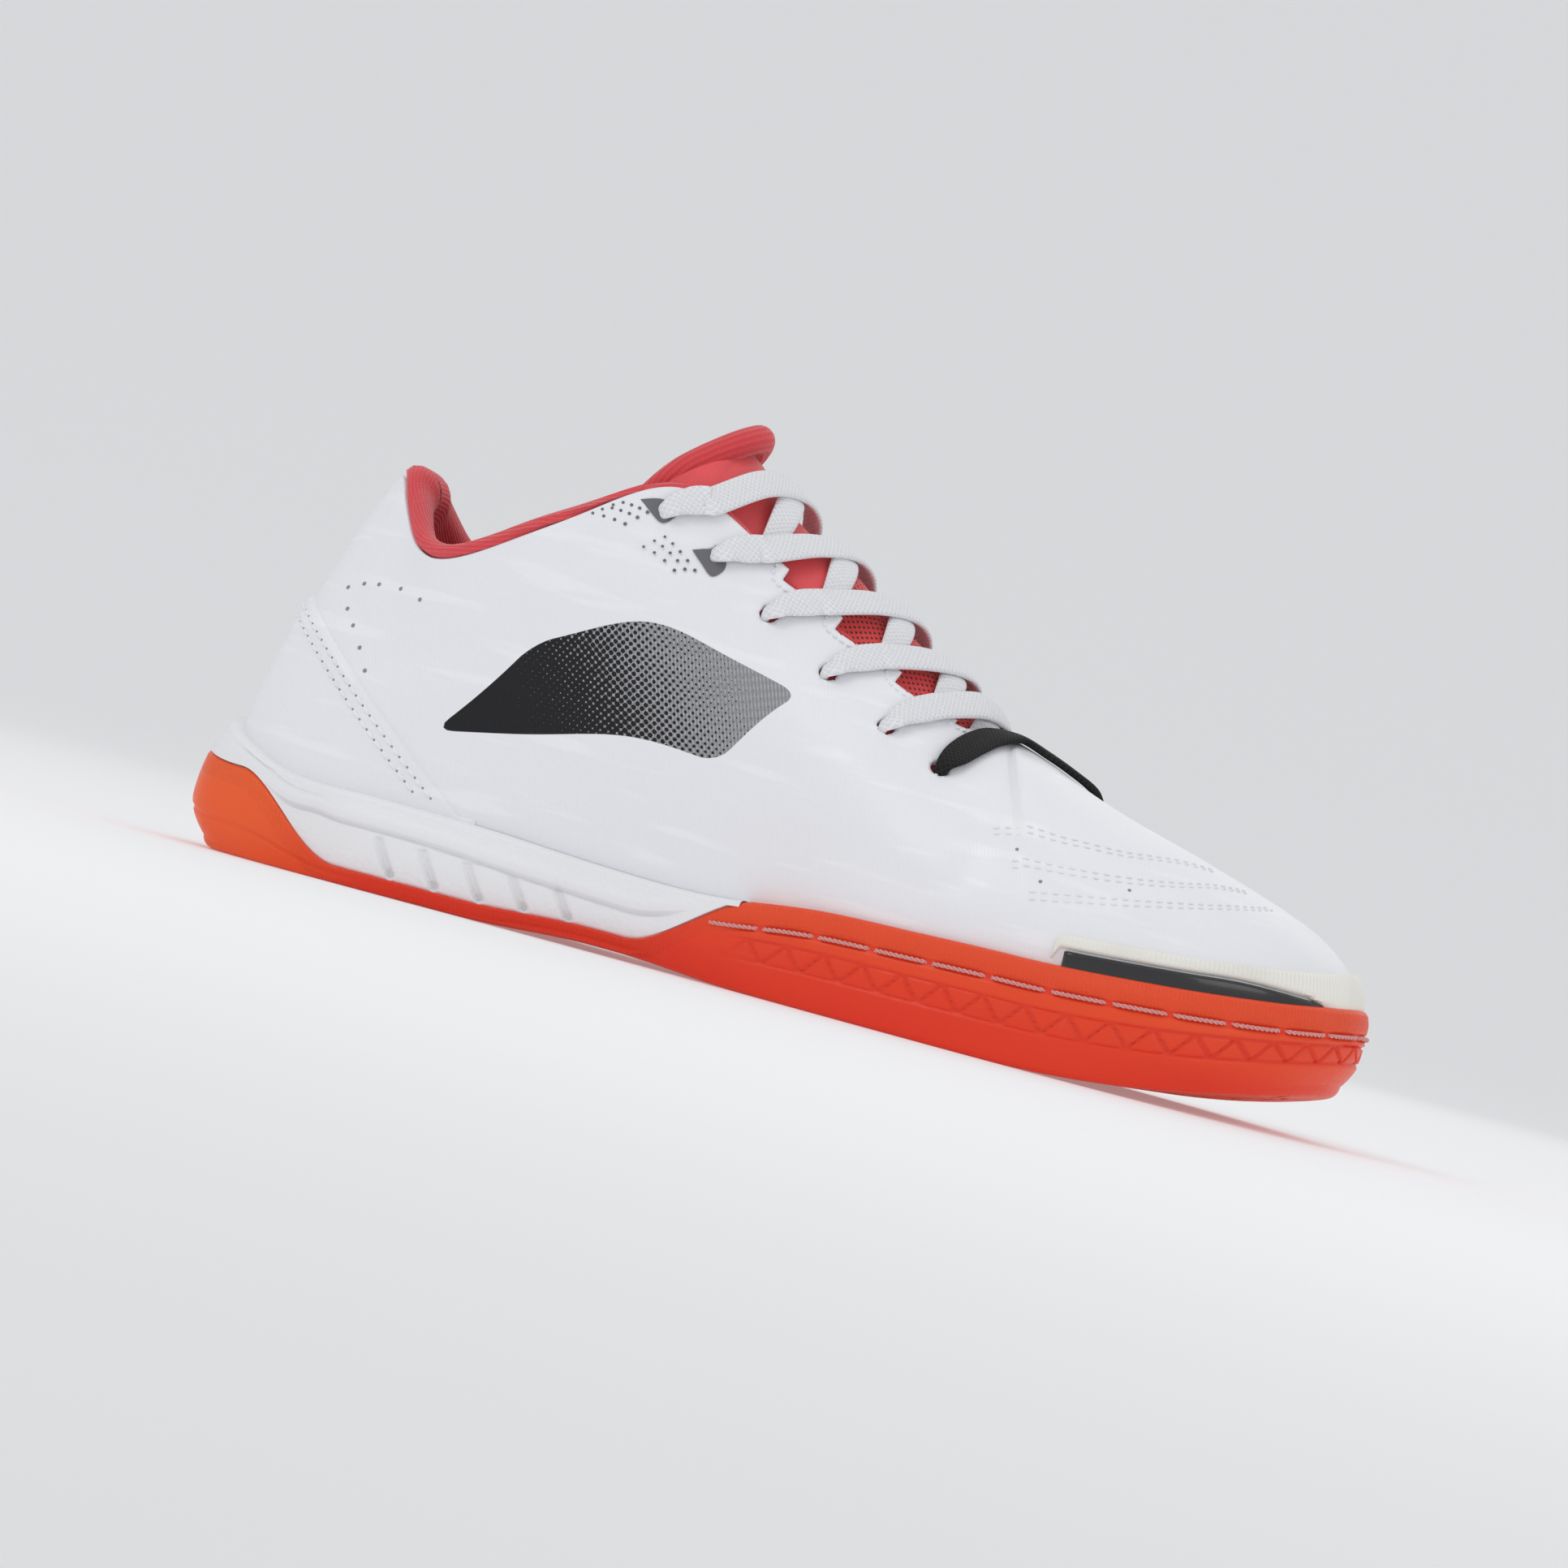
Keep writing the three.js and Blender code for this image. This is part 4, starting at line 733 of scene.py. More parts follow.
def creased(r, v):
    """How far the upper's face stands out from its smooth form: slow waves and the creases."""
    side = side_row(r)
    sway = 0.16 * np.sin(1.9 * side + 5.0 * v) + 0.12 * np.sin(3.7 * side - 7.0 * v + 1.0)
    fade = smooth(0.0, 0.1, v) * (1 - smooth(0.92, 1.0, v))
    return fade * (sway + sum(trough(side, v, *crease) for crease in CREASES))


def print_field(r, v):
    """The printed panel: over 0.5 inside it. It leans forward, with its corners rounded."""
    side = side_row(r)
    a = np.abs(side - PANEL_ROW - PANEL_LEAN * (v - PANEL_SHARE)) * ROW_MM - PANEL_LONG
    b = np.abs(v - PANEL_SHARE - PANEL_RISE * (side - 6.0)) * RIB_MM - PANEL_HIGH
    far = np.hypot(np.maximum(a, 0), np.maximum(b, 0)) + np.minimum(np.maximum(a, b), 0) - PANEL_CORNER
    return np.clip(0.5 - far / PANEL_BLUR, 0, 1)


def steps(*parts):
    """Rows from one value to the next, each part with its own number of rows to a unit."""
    rows = [np.arange(round((b - a) * n)) / n + a for a, b, n in parts]
    return np.concatenate([*rows, [parts[-1][1]]])


def notch_edge(side, start, end, low):
    """The share at which a notch ends: it curves up from its corner to the throat's edge."""
    return lerp(low, 1.0, np.clip((side - start) / (end - start), 0, 1) ** 2)


def upper_sheet():
    """The outer sheet, with its rows drawn to the notches and its points drawn to the lace holes."""
    a, b = THROAT_ROWS
    c, d = ROWS - b, ROWS - a
    r = steps((0, a, 16), (a, b, 30), (b, c, 20), (c, d, 30), (d, ROWS, 16))
    v = np.concatenate([[-1], np.linspace(0, 0.62, 33)[:-1], np.linspace(0.62, 1, 43)])
    rr, vv = np.meshgrid(r, v, indexing="ij")
    for start, end, low in NOTCHES:
        side = side_row(rr)
        near = (np.abs(side - start) < 0.0167) & (vv > low - 0.01)
        rr = np.where(near, np.where(rr > ROWS / 2, ROWS - start, start), rr)
        edge = notch_edge(side, start, end, low)
        near = (side > start - 0.02) & (side < end) & (np.abs(vv - edge) < 0.0046)
        vv = np.where(near, edge, vv)
    share = np.clip(vv, 0, 1)
    points = skin(rr, share, creased(rr, share))
    points[:, 0] = level_point(r, seat_inset(r) + CLEAR, rim_z(r) - 4)
    middle = (points[:-1, :-1] + points[1:, :-1] + points[1:, 1:] + points[:-1, 1:]) / 4
    keep = np.ones(middle.shape[:2], bool)
    for row in EYELET_ROWS:
        for r_hole in both(row):
            centre = upper_point(r_hole, eyelet_share(r_hole))
            keep &= np.linalg.norm(middle - centre, axis=-1) > EYELET_R
            normal = upper_normal(r_hole, eyelet_share(r_hole))
            away = points - centre
            flat = away - normal * (away @ normal)[..., None]
            far = np.linalg.norm(flat, axis=-1)
            near = (np.abs(away @ normal) < 3) & (far < EYELET_R + 0.75) & (far > 0.3)
            pull = unit(flat) * (EYELET_R - far)[..., None]
            ease = 1 - smooth(0.35, 0.75, far - EYELET_R)
            points[near] += pull[near] * ease[near][:, None]
    r_mid = (rr[:-1, :-1] + rr[1:, 1:]) / 2
    v_mid = (vv[:-1, :-1] + vv[1:, 1:]) / 2
    for start, end, low in NOTCHES:
        side = side_row(r_mid)
        keep &= ~((side > start) & (side < end) & (v_mid > notch_edge(side, start, end, low)))
    form = Form()
    form.grid(points, ink=print_field(rr, share) * (vv > 0), keep=keep)
    piece = make("upper_sheet", form, PRINTED, ["upper"], weld=0.02)
    applied(piece, "SOLIDIFY", thickness=SHEET / 1000, offset=-1.0, use_rim_only=True)


def upper_inside():
    """The lining on the inside of the upper, down into the foot bed."""
    r = steps((0, ROWS, 12))
    v = np.concatenate([[-1, -0.5], np.linspace(0, 0.985, 26)])
    rr, vv = np.meshgrid(r, v, indexing="ij")
    points = skin(rr, np.clip(vv, 0, 1), -1.9 + 0.8 * creased(rr, np.clip(vv, 0, 1)))
    inner = seat_inset(r) + CLEAR + WALL
    x = around(PLAN_X, r)
    points[:, 0] = level_point(r, inner, bed_z(x) + 0.5)
    points[:, 1] = level_point(r, inner, (bed_z(x) + rim_z(r)) / 2)
    form = Form()
    form.grid(points, flip=True)
    make("upper_inside", form, INSIDE, weld=0.3)


def patch(node, rows, low, high, thick, look, steps_up, ribs=None, ends=(1.2, 1.2), foot=1.0):
    """A layer on the upper between two shares of its ribs, rounded off along its edges: over the
    lengths in ends at its first and last row. Where foot is 1 it runs on down behind the sole's rim."""
    shares = np.concatenate([[0, 0], np.linspace(0, 1, steps_up), [1, 1]])
    rr = np.repeat(rows[:, None], len(shares), 1)
    vv = low[:, None] + (high - low)[:, None] * shares
    run = lengths(upper_point(rr, vv))
    foot = np.broadcast_to(foot, rows.shape)[:, None]
    up = np.minimum(lerp(run[..., 1], 9.0, foot), run[:, -1:, 1] - run[..., 1])
    ends_at = np.minimum(run[..., 0] / ends[0], (run[-1:, :, 0] - run[..., 0]) / ends[1])
    rise = np.sqrt(np.clip(1 - (1 - np.clip(np.minimum(up / 1.1, ends_at), 0, 1)) ** 2, 0, 1))
    depth = LAYER_LIFT + thick * rise
    depth[:, [0, -1]] = -0.4
    if ribs is not None:
        depth = depth + rise * ribs(run)
    points = skin(rr, vv, depth)
    points[:, 0] = lerp(points[:, 0], points[:, 2] - np.array([0, 0, 3.5]), foot)
    points[:, 1] = lerp(points[:, 1], points[:, 2], foot)
    form = Form()
    form.grid(points)
    make(f"{node}_layer", form, look, [node], weld=0.001)


def stitches(form, path, length, pitch, radius, normal):
    """Thread along a path: each stitch lies low at its two ends."""
    run = running(path)
    t = np.linspace(-1, 1, 7)
    high = radius * (0.55 - 1.3 * np.abs(t) ** 3)
    thick = radius * np.sqrt(np.clip(1.05 - t**2 * 0.8, 0.1, 1))
    for start in np.arange(0.4, run[-1] - length, pitch):
        s = np.linspace(start, start + length, len(t))
        form.tube(resampled(s, run, path) + resampled(s, run, normal) * high[:, None], thick, 6)


def discs(form, r, v, radius, lift, sides=10):
    """A flat dot on the upper."""
    centre, normal = skin(r, v, lift), upper_normal(r, v)
    a = unit(np.cross(normal, [0, 0.1, 1.0]))
    b = np.cross(normal, a)
    turn = np.arange(sides) * 2 * np.pi / sides
    form.fan(centre, centre + radius * (np.cos(turn)[:, None] * a + np.sin(turn)[:, None] * b))


# The layers on the upper: lift off its face, the counter's rows and edge, the bumper and the stripes.
LAYER_LIFT, COUNTER_ROWS, COUNTER_TOP, COUNTER_FALL, COUNTER_START = 0.1, 4.85, 65, 0.78, 0.06
BUMPER_START, BUMPER_HEIGHT, STRIPE_HEIGHT, STRIPE_ROWS = 10.33, 7.0, 3.4, (10.44, 13.7)
RIB_PITCH, RIB_DEPTH = 1.15, 0.16
# The counter's two seams: how far they lie below its edge, their rows, and the stitches' pitch.
SEAMS_BELOW, SEAM_ROWS, SEAM_PITCH = (3.2, 6.4), 4.6, 3.1


def stripe_height(side):
    """The height of the dark stripe over the sole's rim, down to nothing at its two ends."""
    return STRIPE_HEIGHT * (1 - smooth(12.0, 14.0, side)) * smooth(10.30, 10.42, side)


def counter_share(r, below=0.0):
    """The share of the ribs at the heel counter's edge, or at a line below it."""
    start = COUNTER_START * LENGTH
    return share_at(r, lambda p: COUNTER_TOP - below - COUNTER_FALL * np.maximum(0, p[..., 0] - start))


def bumper_ribs(run):
    return RIB_DEPTH * np.cos(2 * np.pi * run[..., 0] / RIB_PITCH)


def upper_layers():
    """The layers that lie on the upper: heel counter, toe bumper, its dark stripes and their thread."""
    r = steps((ROWS - COUNTER_ROWS, ROWS + COUNTER_ROWS, 24))
    top = np.maximum(0.01, counter_share(r))
    patch("heel_counter", r, np.full_like(r, 0.004), top, 1.15, FILM, 26)
    thread, holes = Form(), Form()
    for below in SEAMS_BELOW:
        rows = steps((ROWS - SEAM_ROWS, ROWS + SEAM_ROWS, 24))
        edge = counter_share(rows, below)
        path = skin(rows, edge, 1.28)
        keep = path[:, 2] > rim_z(rows) + 2
        path, normal = path[keep], upper_normal(rows, edge)[keep]
        stitches(thread, path, 2.3, SEAM_PITCH, 0.42, normal)
        run = running(path)
        # Grey discs at the needle holes: painted shade standing in for the holes.
        for at in np.arange(0, run[-1], SEAM_PITCH):
            discs(holes, np.interp(at, run, rows[keep]), np.interp(at, run, edge[keep]), 0.32, 1.27, 7)
    make("counter_thread", thread, THREAD)
    make("counter_needle_hole_shades", holes, HOLE_SHADE)

    r = steps((BUMPER_START, ROWS - BUMPER_START, 110))
    side = side_row(r)
    low, high = rim_share(r, stripe_height(side) + 0.3), rim_share(r, BUMPER_HEIGHT)
    start = smooth(0.0, 0.16, side - BUMPER_START)
    high = low + (high - low) * lerp(0.62, 1.0, np.sqrt(start))
    patch("toe_bumper", r, low, high, 1.6, CREAM, 12, bumper_ribs, (3.0, 3.0),
          smooth(13.3, 14.0, side))
    outer, inner = both(steps((*STRIPE_ROWS, 50)))
    for name, rows, ends in (("outer", outer, (2.5, 6.0)), ("inner", inner[::-1], (6.0, 2.5))):
        top = rim_share(rows, stripe_height(side_row(rows)))
        patch(f"toe_stripe_{name}", rows, np.full_like(rows, 0.002), top, 1.35, GLOSS_BLACK,
              12, None, ends)


# Lines of thread on the vamp, as (row, share): each is sewn twice, side by side.
VAMP_LINES = [
    [(9.68, 0.41), (10.16, 0.43), (10.64, 0.475), (11.11, 0.55), (11.7, 0.70), (12.2, 0.83)],
    [(9.86, 0.293), (10.35, 0.32), (10.90, 0.375), (11.5, 0.48), (12.1, 0.64), (12.7, 0.80)],
    [(10.03, 0.192), (10.48, 0.23), (11.04, 0.293), (11.7, 0.40), (12.42, 0.56), (13.1, 0.74)],
]
# Pierced dots at the heel quarter, as (row, share); each is drawn as a grey disc, painted shade standing in
# for the hole.
HEEL_DOTS = [
    (1.88, 0.632), (2.18, 0.699), (2.49, 0.757), (3.00, 0.824), (3.55, 0.820),
    (2.22, 0.594), (2.55, 0.582), (2.92, 0.544), (3.22, 0.477),
]
VAMP_DOTS = [(9.94, 0.351), (10.16, 0.251), (11.03, 0.347)]
# The small prints behind the two top lace holes: wedges, and rows of dots with their two ends and number.
WEDGES = [
    [(5.69, 0.972), (5.93, 0.958), (6.07, 0.925), (5.99, 0.890), (5.86, 0.915)],
    [(6.34, 0.845), (6.60, 0.892), (6.70, 0.862), (6.60, 0.812), (6.46, 0.826)],
]
DOT_ROWS = [
    ((5.28, 0.985), (5.62, 0.905), 4), ((5.36, 0.995), (5.72, 0.915), 5), ((5.45, 0.998), (5.80, 0.925), 5),
    ((5.86, 0.822), (6.22, 0.770), 4), ((5.95, 0.838), (6.32, 0.785), 5), ((6.04, 0.852), (6.42, 0.797), 5),
]
THREAD_LIFT, DOT_LIFT, INK_LIFT, TOP_SHARE = 0.05, 0.06, 0.16, 0.985


def upper_marks():
    """The thread, the pierced dots as grey discs of painted shade, and the small prints on the upper,
    mirrored to its inner side.
    """
    thread, holes, ink = Form(), Form(), Form()
    for line in VAMP_LINES:
        for shift in (-0.012, 0.012):
            fine = spline([(a, b + shift, 0) for a, b in line], 60)
            share = np.minimum(fine[:, 1], TOP_SHARE)
            for rows in both(fine[:, 0]):
                path = skin(rows, share, creased(rows, share) + THREAD_LIFT)
                stitches(thread, path, 1.7, 2.7, 0.24, upper_normal(rows, share))
    for start, end, low in NOTCHES:
        late = lerp(start, end, 0.7)
        ring = [(start - 0.10, 0.99), (start - 0.10, low + 0.005), (start - 0.06, low - 0.022),
                (start + 0.10, low - 0.024), (late, notch_edge(late, start, end, low) - 0.03)]
        fine = spline([(*p, 0) for p in ring], 30)
        share = fine[:, 1]
        for rows in both(fine[:, 0]):
            stitches(thread, skin(rows, share, THREAD_LIFT), 1.3, 2.0, 0.36, upper_normal(rows, share))
    for dots, radius in ((HEEL_DOTS, 0.55), (VAMP_DOTS, 0.45)):
        for row, share in dots:
            for r in both(row):
                discs(holes, r, share, radius, creased(r, share) + DOT_LIFT)
    for corners in WEDGES:
        fine = spline([(*p, 0) for p in [*corners, corners[0]]], 40)[:-1]
        middle = fine.mean(0)
        for rows, centre in zip(both(fine[:, 0]), both(middle[0])):
            places = [(lerp(centre, rows, t), lerp(middle[1], fine[:, 1], t)) for t in (0.0, 0.5, 1.0)]
            grid = np.stack([skin(r, v, INK_LIFT) for r, v in places], 1)
            ink.grid(np.concatenate([grid, grid[:1]]))
    for (r0, v0), (r1, v1), count in DOT_ROWS:
        for k in range(count):
            t = k / (count - 1)
            for r in both(lerp(r0, r1, t)):
                discs(ink, r, min(TOP_SHARE, lerp(v0, v1, t)), 0.36 + 0.1 * t, INK_LIFT, 8)
    make("vamp_thread", thread, THREAD)
    make("pierced_dot_shades", holes, HOLE_SHADE)
    make("small_prints", ink, GREY_INK)


# The row at which the collar's roll ends on each side.
COLLAR_END = 17 / 3


def collar_lining():
    """The padded roll round the collar: a band inside that swells at the top and rolls out over the edge."""
    rows = steps((ROWS - COLLAR_END, ROWS + COLLAR_END, 22))
    side = np.minimum(np.abs(rows - ROWS), COLLAR_END)
    full = 1 - smooth(COLLAR_END - 1.2, COLLAR_END, side)
    heel = 1 - smooth(1.0, 3.2, side)
    pad, roll = 5 * lerp(0.3, 1, full) + 3.5 * heel, 4.5 * lerp(0.5, 1, full) + 0.8 * heel
    top = upper_point(rows, 1.0)
    up = unit(top - upper_point(rows, 0.97))
    inward = -upper_normal(rows, np.full_like(rows, 1.0))
    back = WALL + CLEAR + 0.15

    def over(rise, depth):
        rise, depth = (np.broadcast_to(d, rows.shape)[:, None] for d in (rise, depth))
        return top + up * rise + inward * depth

    def inner(v, depth):
        return skin(rows, np.full_like(rows, v), -np.broadcast_to(depth, rows.shape))

    profile = np.stack([
        inner(0.45, back), inner(0.72, back), inner(0.96, back), over(CLEAR, back), over(CLEAR, 0.45),
        over(0.45 * roll, -0.15), over(0.85 * roll, 0.12 * (back + pad)), over(roll, 0.42 * (back + pad)),
        over(0.86 * roll, 0.72 * (back + pad)), over(0.4 * roll, 0.98 * (back + pad)), over(-1.5, back + pad),
        inner(0.86, back + 0.98 * pad), inner(0.72, back + 0.72 * pad), inner(0.58, back + 0.45 * pad),
        inner(0.47, back + 0.2 * pad),
    ], 1)
    loops = np.stack([spline(p, 44) for p in profile])
    ends = [np.repeat(loops[k].mean(0)[None, None], loops.shape[1], 1) for k in (0, -1)]
    form = Form()
    form.grid(np.concatenate([ends[0], loops, ends[1]]), flip=True)
    piece = make("collar_padding", form, LINING, ["collar_lining"], solid=True)


def throat_piping():
    """A coral cord along the upper's edge in front of the collar's roll, on both sides."""
    form = Form()
    for rows in both(steps((5.4, 7.0, 24))):
        top = upper_point(rows, 1.0)
        up = unit(top - upper_point(rows, 0.97))
        path = top + 0.35 * up - 1.9 * upper_normal(rows, np.ones_like(rows))
        form.tube(path, 1.55 * np.sin(np.linspace(0.35, np.pi - 0.35, len(rows))) ** 0.5, 12)
    make("throat_piping", form, LINING, solid=True)


INSOLE_THICK = 3.5


def insole():
    """The insole in the foot bed, dished a little, with its edge raised round the heel."""
    def inset(r):
        return seat_inset(r) + CLEAR + WALL + 2 * CLEAR

    across = np.linspace(0, 1, 41)
    a, b = (plan_point(r, inset(r)) for r in both(steps((0, LAST_ROW, 8))))
    plan = a[:, None] + (b - a)[:, None] * across[None, :, None]
    side = np.abs(2 * across - 1)
    bottom = bed_z(plan[..., 0]) + CLEAR
    cup = smooth(0.72, 1.0, side)[None] * lerp(2.6, 0.4, smooth(0.25, 0.6, plan[..., 0] / LENGTH))
    z = bottom + INSOLE_THICK + cup - 0.6 * (1 - side**2)[None]
    top = np.concatenate([plan, z[..., None]], -1)
    rim = np.concatenate([plan, bottom[..., None]], -1)
    form = Form()
    form.grid(top, flip=True)
    for k in (0, -1):
        form.grid(np.stack([top[:, k], rim[:, k]], 1), flip=k == -1)
    form.grid(rim)
    make("insole_board", form, INSOLE_CLOTH, ["insole"], solid=True, weld=0.02)


# The tongue: the rows of its part in the throat, and the tip behind them.
TONGUE_START, TONGUE_END, MESH_START = 19 / 3, 31 / 3, 7.55
TONGUE_THICK, TIP_THICK, TONGUE_CROWN, TIP_ROWS = 3.5, 6.5, 17.0, 22
TIP_BACK, TIP_RISE, TIP_SHOULDER = 0.072, 6.0, 16.0


def crown_height(r):
    """How far the tongue's middle stands over the throat's two edges."""
    fall = 0.35 * smooth(6.1, 7.2, r) + 0.18 * smooth(7.2, 9, r) + 0.47 * smooth(8.8, 9.8, r)
    return TONGUE_CROWN * (1 - fall)


def centripetal(points, count):
    """Evenly spread points of the centripetal curve through the given ones, as the solid's curve is."""
    points = np.asarray(points)
    ends = np.concatenate([[2 * points[0] - points[1]], points, [2 * points[-1] - points[-2]]])
    fine = []
    for i in range(len(points) - 1):
        p0, p1, p2, p3 = ends[i:i + 4]
        d0, d1, d2 = (max(np.sqrt(np.linalg.norm(b - a)), 1e-4) for a, b in ((p0, p1), (p1, p2), (p2, p3)))
        t1 = ((p1 - p0) / d0 - (p2 - p0) / (d0 + d1) + (p2 - p1) / d1) * d1
        t2 = ((p2 - p1) / d1 - (p3 - p1) / (d1 + d2) + (p3 - p2) / d2) * d1
        t = np.linspace(0, 1, 25)[:-1, None]
        fine.append(p1 + t1 * t + (3 * (p2 - p1) - 2 * t1 - t2) * t**2 + (2 * (p1 - p2) + t1 + t2) * t**3)
    fine = np.concatenate([*fine, points[-1:]])
    run = running(fine)
    return resampled(np.linspace(0, run[-1], count), run, fine)


def tongue_line(r):
    """The tongue's face across the throat at a row, from under one edge over to the other."""
    gap = WALL + CLEAR + 0.5
    narrow = bool(closed(r)) or abs(around(TOP_Y, r)) < 3
    shares = [0.84, 0.92] if narrow else [0.86, 0.93, 1.0]
    ends = [[skin(row, v, -gap) for v in shares] for row in both(r)]
    a, b = (skin(row, 1.0, -gap) for row in both(r))
    arch = []
    for t in ([0.5] if narrow else [0.25, 0.5, 0.75]):
        p = lerp(a, b, t)
        p[2] += crown_height(r) * 4 * t * (1 - t)
        arch.append(p)
    return centripetal([*ends[0], *arch, *ends[1][::-1]], 41)


TONGUE_ROWS = steps((TONGUE_START, TONGUE_END, 18))
TONGUE_LINES = np.stack([tongue_line(float(r)) for r in TONGUE_ROWS])


def tongue_point(r, share):
    """A point of the tongue's face in the throat, and the direction away from it."""
    last = len(TONGUE_ROWS) - 1.001
    i = (r - TONGUE_ROWS[0]) / (TONGUE_ROWS[-1] - TONGUE_ROWS[0]) * (len(TONGUE_ROWS) - 1)
    i = np.clip(i, 0, last)
    k = share * (TONGUE_LINES.shape[1] - 1)

    def at(i, k):
        a, b = int(i), int(min(k, TONGUE_LINES.shape[1] - 1.001))
        f, g = i - a, k - b
        (p, q), (u, w) = TONGUE_LINES[a:a + 2, b:b + 2]
        return (1 - f) * ((1 - g) * p + g * q) + f * ((1 - g) * u + g * w)

    e = 0.9
    along = at(min(i + e, last), k) - at(max(i - e, 0), k)
    over = at(i, k + e) - at(i, max(k - e, 0))
    return at(i, k), unit(np.cross(along, over))


def tongue():
    """The padded tongue: satin on its tip, open mesh below, and a rolled binding round the tip's edge."""
    top = TONGUE_LINES[0]
    centre = top[len(top) // 2]
    side = np.abs(np.linspace(-1, 1, len(top)))
    tip = []
    for along in np.linspace(0, 1, TIP_ROWS)[1:]:
        wide = np.interp(along, (0, 0.3, 0.62, 0.86, 1), (1, 0.95, 0.9, 0.87, 0.83))
        line = top.copy()
        line[:, 0] -= TIP_BACK * LENGTH * along * lerp(-0.1, 1, side**1.6)
        line[:, 1] = centre[1] + (top[:, 1] - centre[1]) * wide
        line[:, 2] += along * (TIP_RISE * (1 - 0.3 * side) + TIP_SHOULDER * (side**2 - side**4))
        tip.append(line)
    face = np.concatenate([np.array(tip)[::-1], TONGUE_LINES])
    axis = face[:, face.shape[1] // 2] + [0, 0, -0.36 * COLLAR_WIDTH]
    run = lengths(face)[..., 0]
    sway = 0.4 * np.sin(np.linspace(0, 9, face.shape[1]))
    soft = 0.35 * np.sin(run / 5.2 + sway) * smooth(4, 12, run)
    face = face + unit(face - axis[:, None]) * (soft - 0.3)[..., None]
    thick = np.full(len(face), TONGUE_THICK)
    thick[:TIP_ROWS] = lerp(TONGUE_THICK, TIP_THICK, smooth(0, 1, np.linspace(1, 0, TIP_ROWS)))
    under = face + unit(axis[:, None] - face) * thick[:, None, None]
    n_mesh = len(tip) + int(np.searchsorted(TONGUE_ROWS, MESH_START))
    uv = lengths(face)
    satin_form, mesh_form, back_form = Form(), Form(), Form()
    satin_form.grid(face[:n_mesh], uv[:n_mesh])
    mesh_form.grid(face[n_mesh - 1:], uv[n_mesh - 1:])
    back_form.grid(under, flip=True)
    for k in (0, -1):
        back_form.grid(np.stack([face[:, k], under[:, k]], 1), flip=k == 0)
        back_form.grid(np.stack([face[k], under[k]]), flip=k == -1)
    padding = make("tongue_padding", satin_form, SATIN, ["tongue"])
    make("tongue_mesh", mesh_form, OPEN_MESH, ["tongue"])
    make("tongue_back", back_form, INSIDE, ["tongue"])

    # The rolled binding runs up one edge of the tip, over its end and down the other edge.
    end = len(tip) + 8
    rims = [np.concatenate([part[1:end, 0][::-1], part[0], part[1:end, -1]]) for part in (face, under)]
    route = spline(lerp(*rims, 0.42)[::3], 150)
    turn = np.linspace(-1, 1, len(route))
    roll = Form()
    radius = 2.2 + 1.2 * (1 - smooth(0.3, 0.8, np.abs(turn)))
    roll.tube(route, radius, 20, across=(0.5, 0, 0.87))
    piece = make("tongue_binding", roll, BINDING, ["tongue"], solid=True)


def ribbon(form, stations, count):
    """A flat woven band, rounded at its two edges. Each station along it has a point, the direction
    away from the shoe, a width and a thickness."""
    data = spline(stations, count)
    path, up, wide, deep = data[:, :3], unit(data[:, 3:6]), data[:, 6], data[:, 7]
    along = unit(np.gradient(path, axis=0))
    side = unit(np.cross(along, up))
    face = np.cross(side, along)
    turn = np.linspace(0, 2 * np.pi, 25)
    c, s = np.cos(turn), np.sin(turn)
    x = np.sign(c) * np.abs(c) ** 0.62
    y = np.sign(s) * np.abs(s) ** 0.8
    across, through = x[None] * wide[:, None] / 2, y[None] * deep[:, None] / 2
    points = path[:, None] + (side[:, None] * across[..., None] + face[:, None] * through[..., None])
    uv = np.stack(np.broadcast_arrays(running(path)[:, None], across), -1)
    first, last = (np.repeat(path[k][None, None], len(turn), 1) for k in (0, -1))
    form.grid(np.concatenate([first, points, last]), np.concatenate([uv[:1], uv, uv[-1:]]), flip=True)


LACE_W, LACE_T, SAG_EDGE, SAG_MIDDLE, BAND_THICK = 7.4, 1.7, 0.40, 0.86, 1.9
# The throat band's course: row, side, share, lift off the upper's face and width.
BAND_PATH = [
    (9.06, 1, 0.655, -2.5, 3.0), (9.07, 1, 0.672, 0.6, 3.4), (9.10, 1, 0.70, 1.6, 4.6),
    (9.22, 1, 0.76, 1.5, 6.4), (9.42, 1, 0.84, 1.3, 6.8), (9.68, 1, 0.91, 1.3, 6.4),
    (10.0, 1, 0.965, 1.2, 5.6), (10.3, -1, 0.985, 1.2, 5.2), (10.5, -1, 0.93, 1.2, 4.8),
    (10.65, -1, 0.86, 0.9, 4.0), (10.72, -1, 0.82, -1.0, 3.0),
]


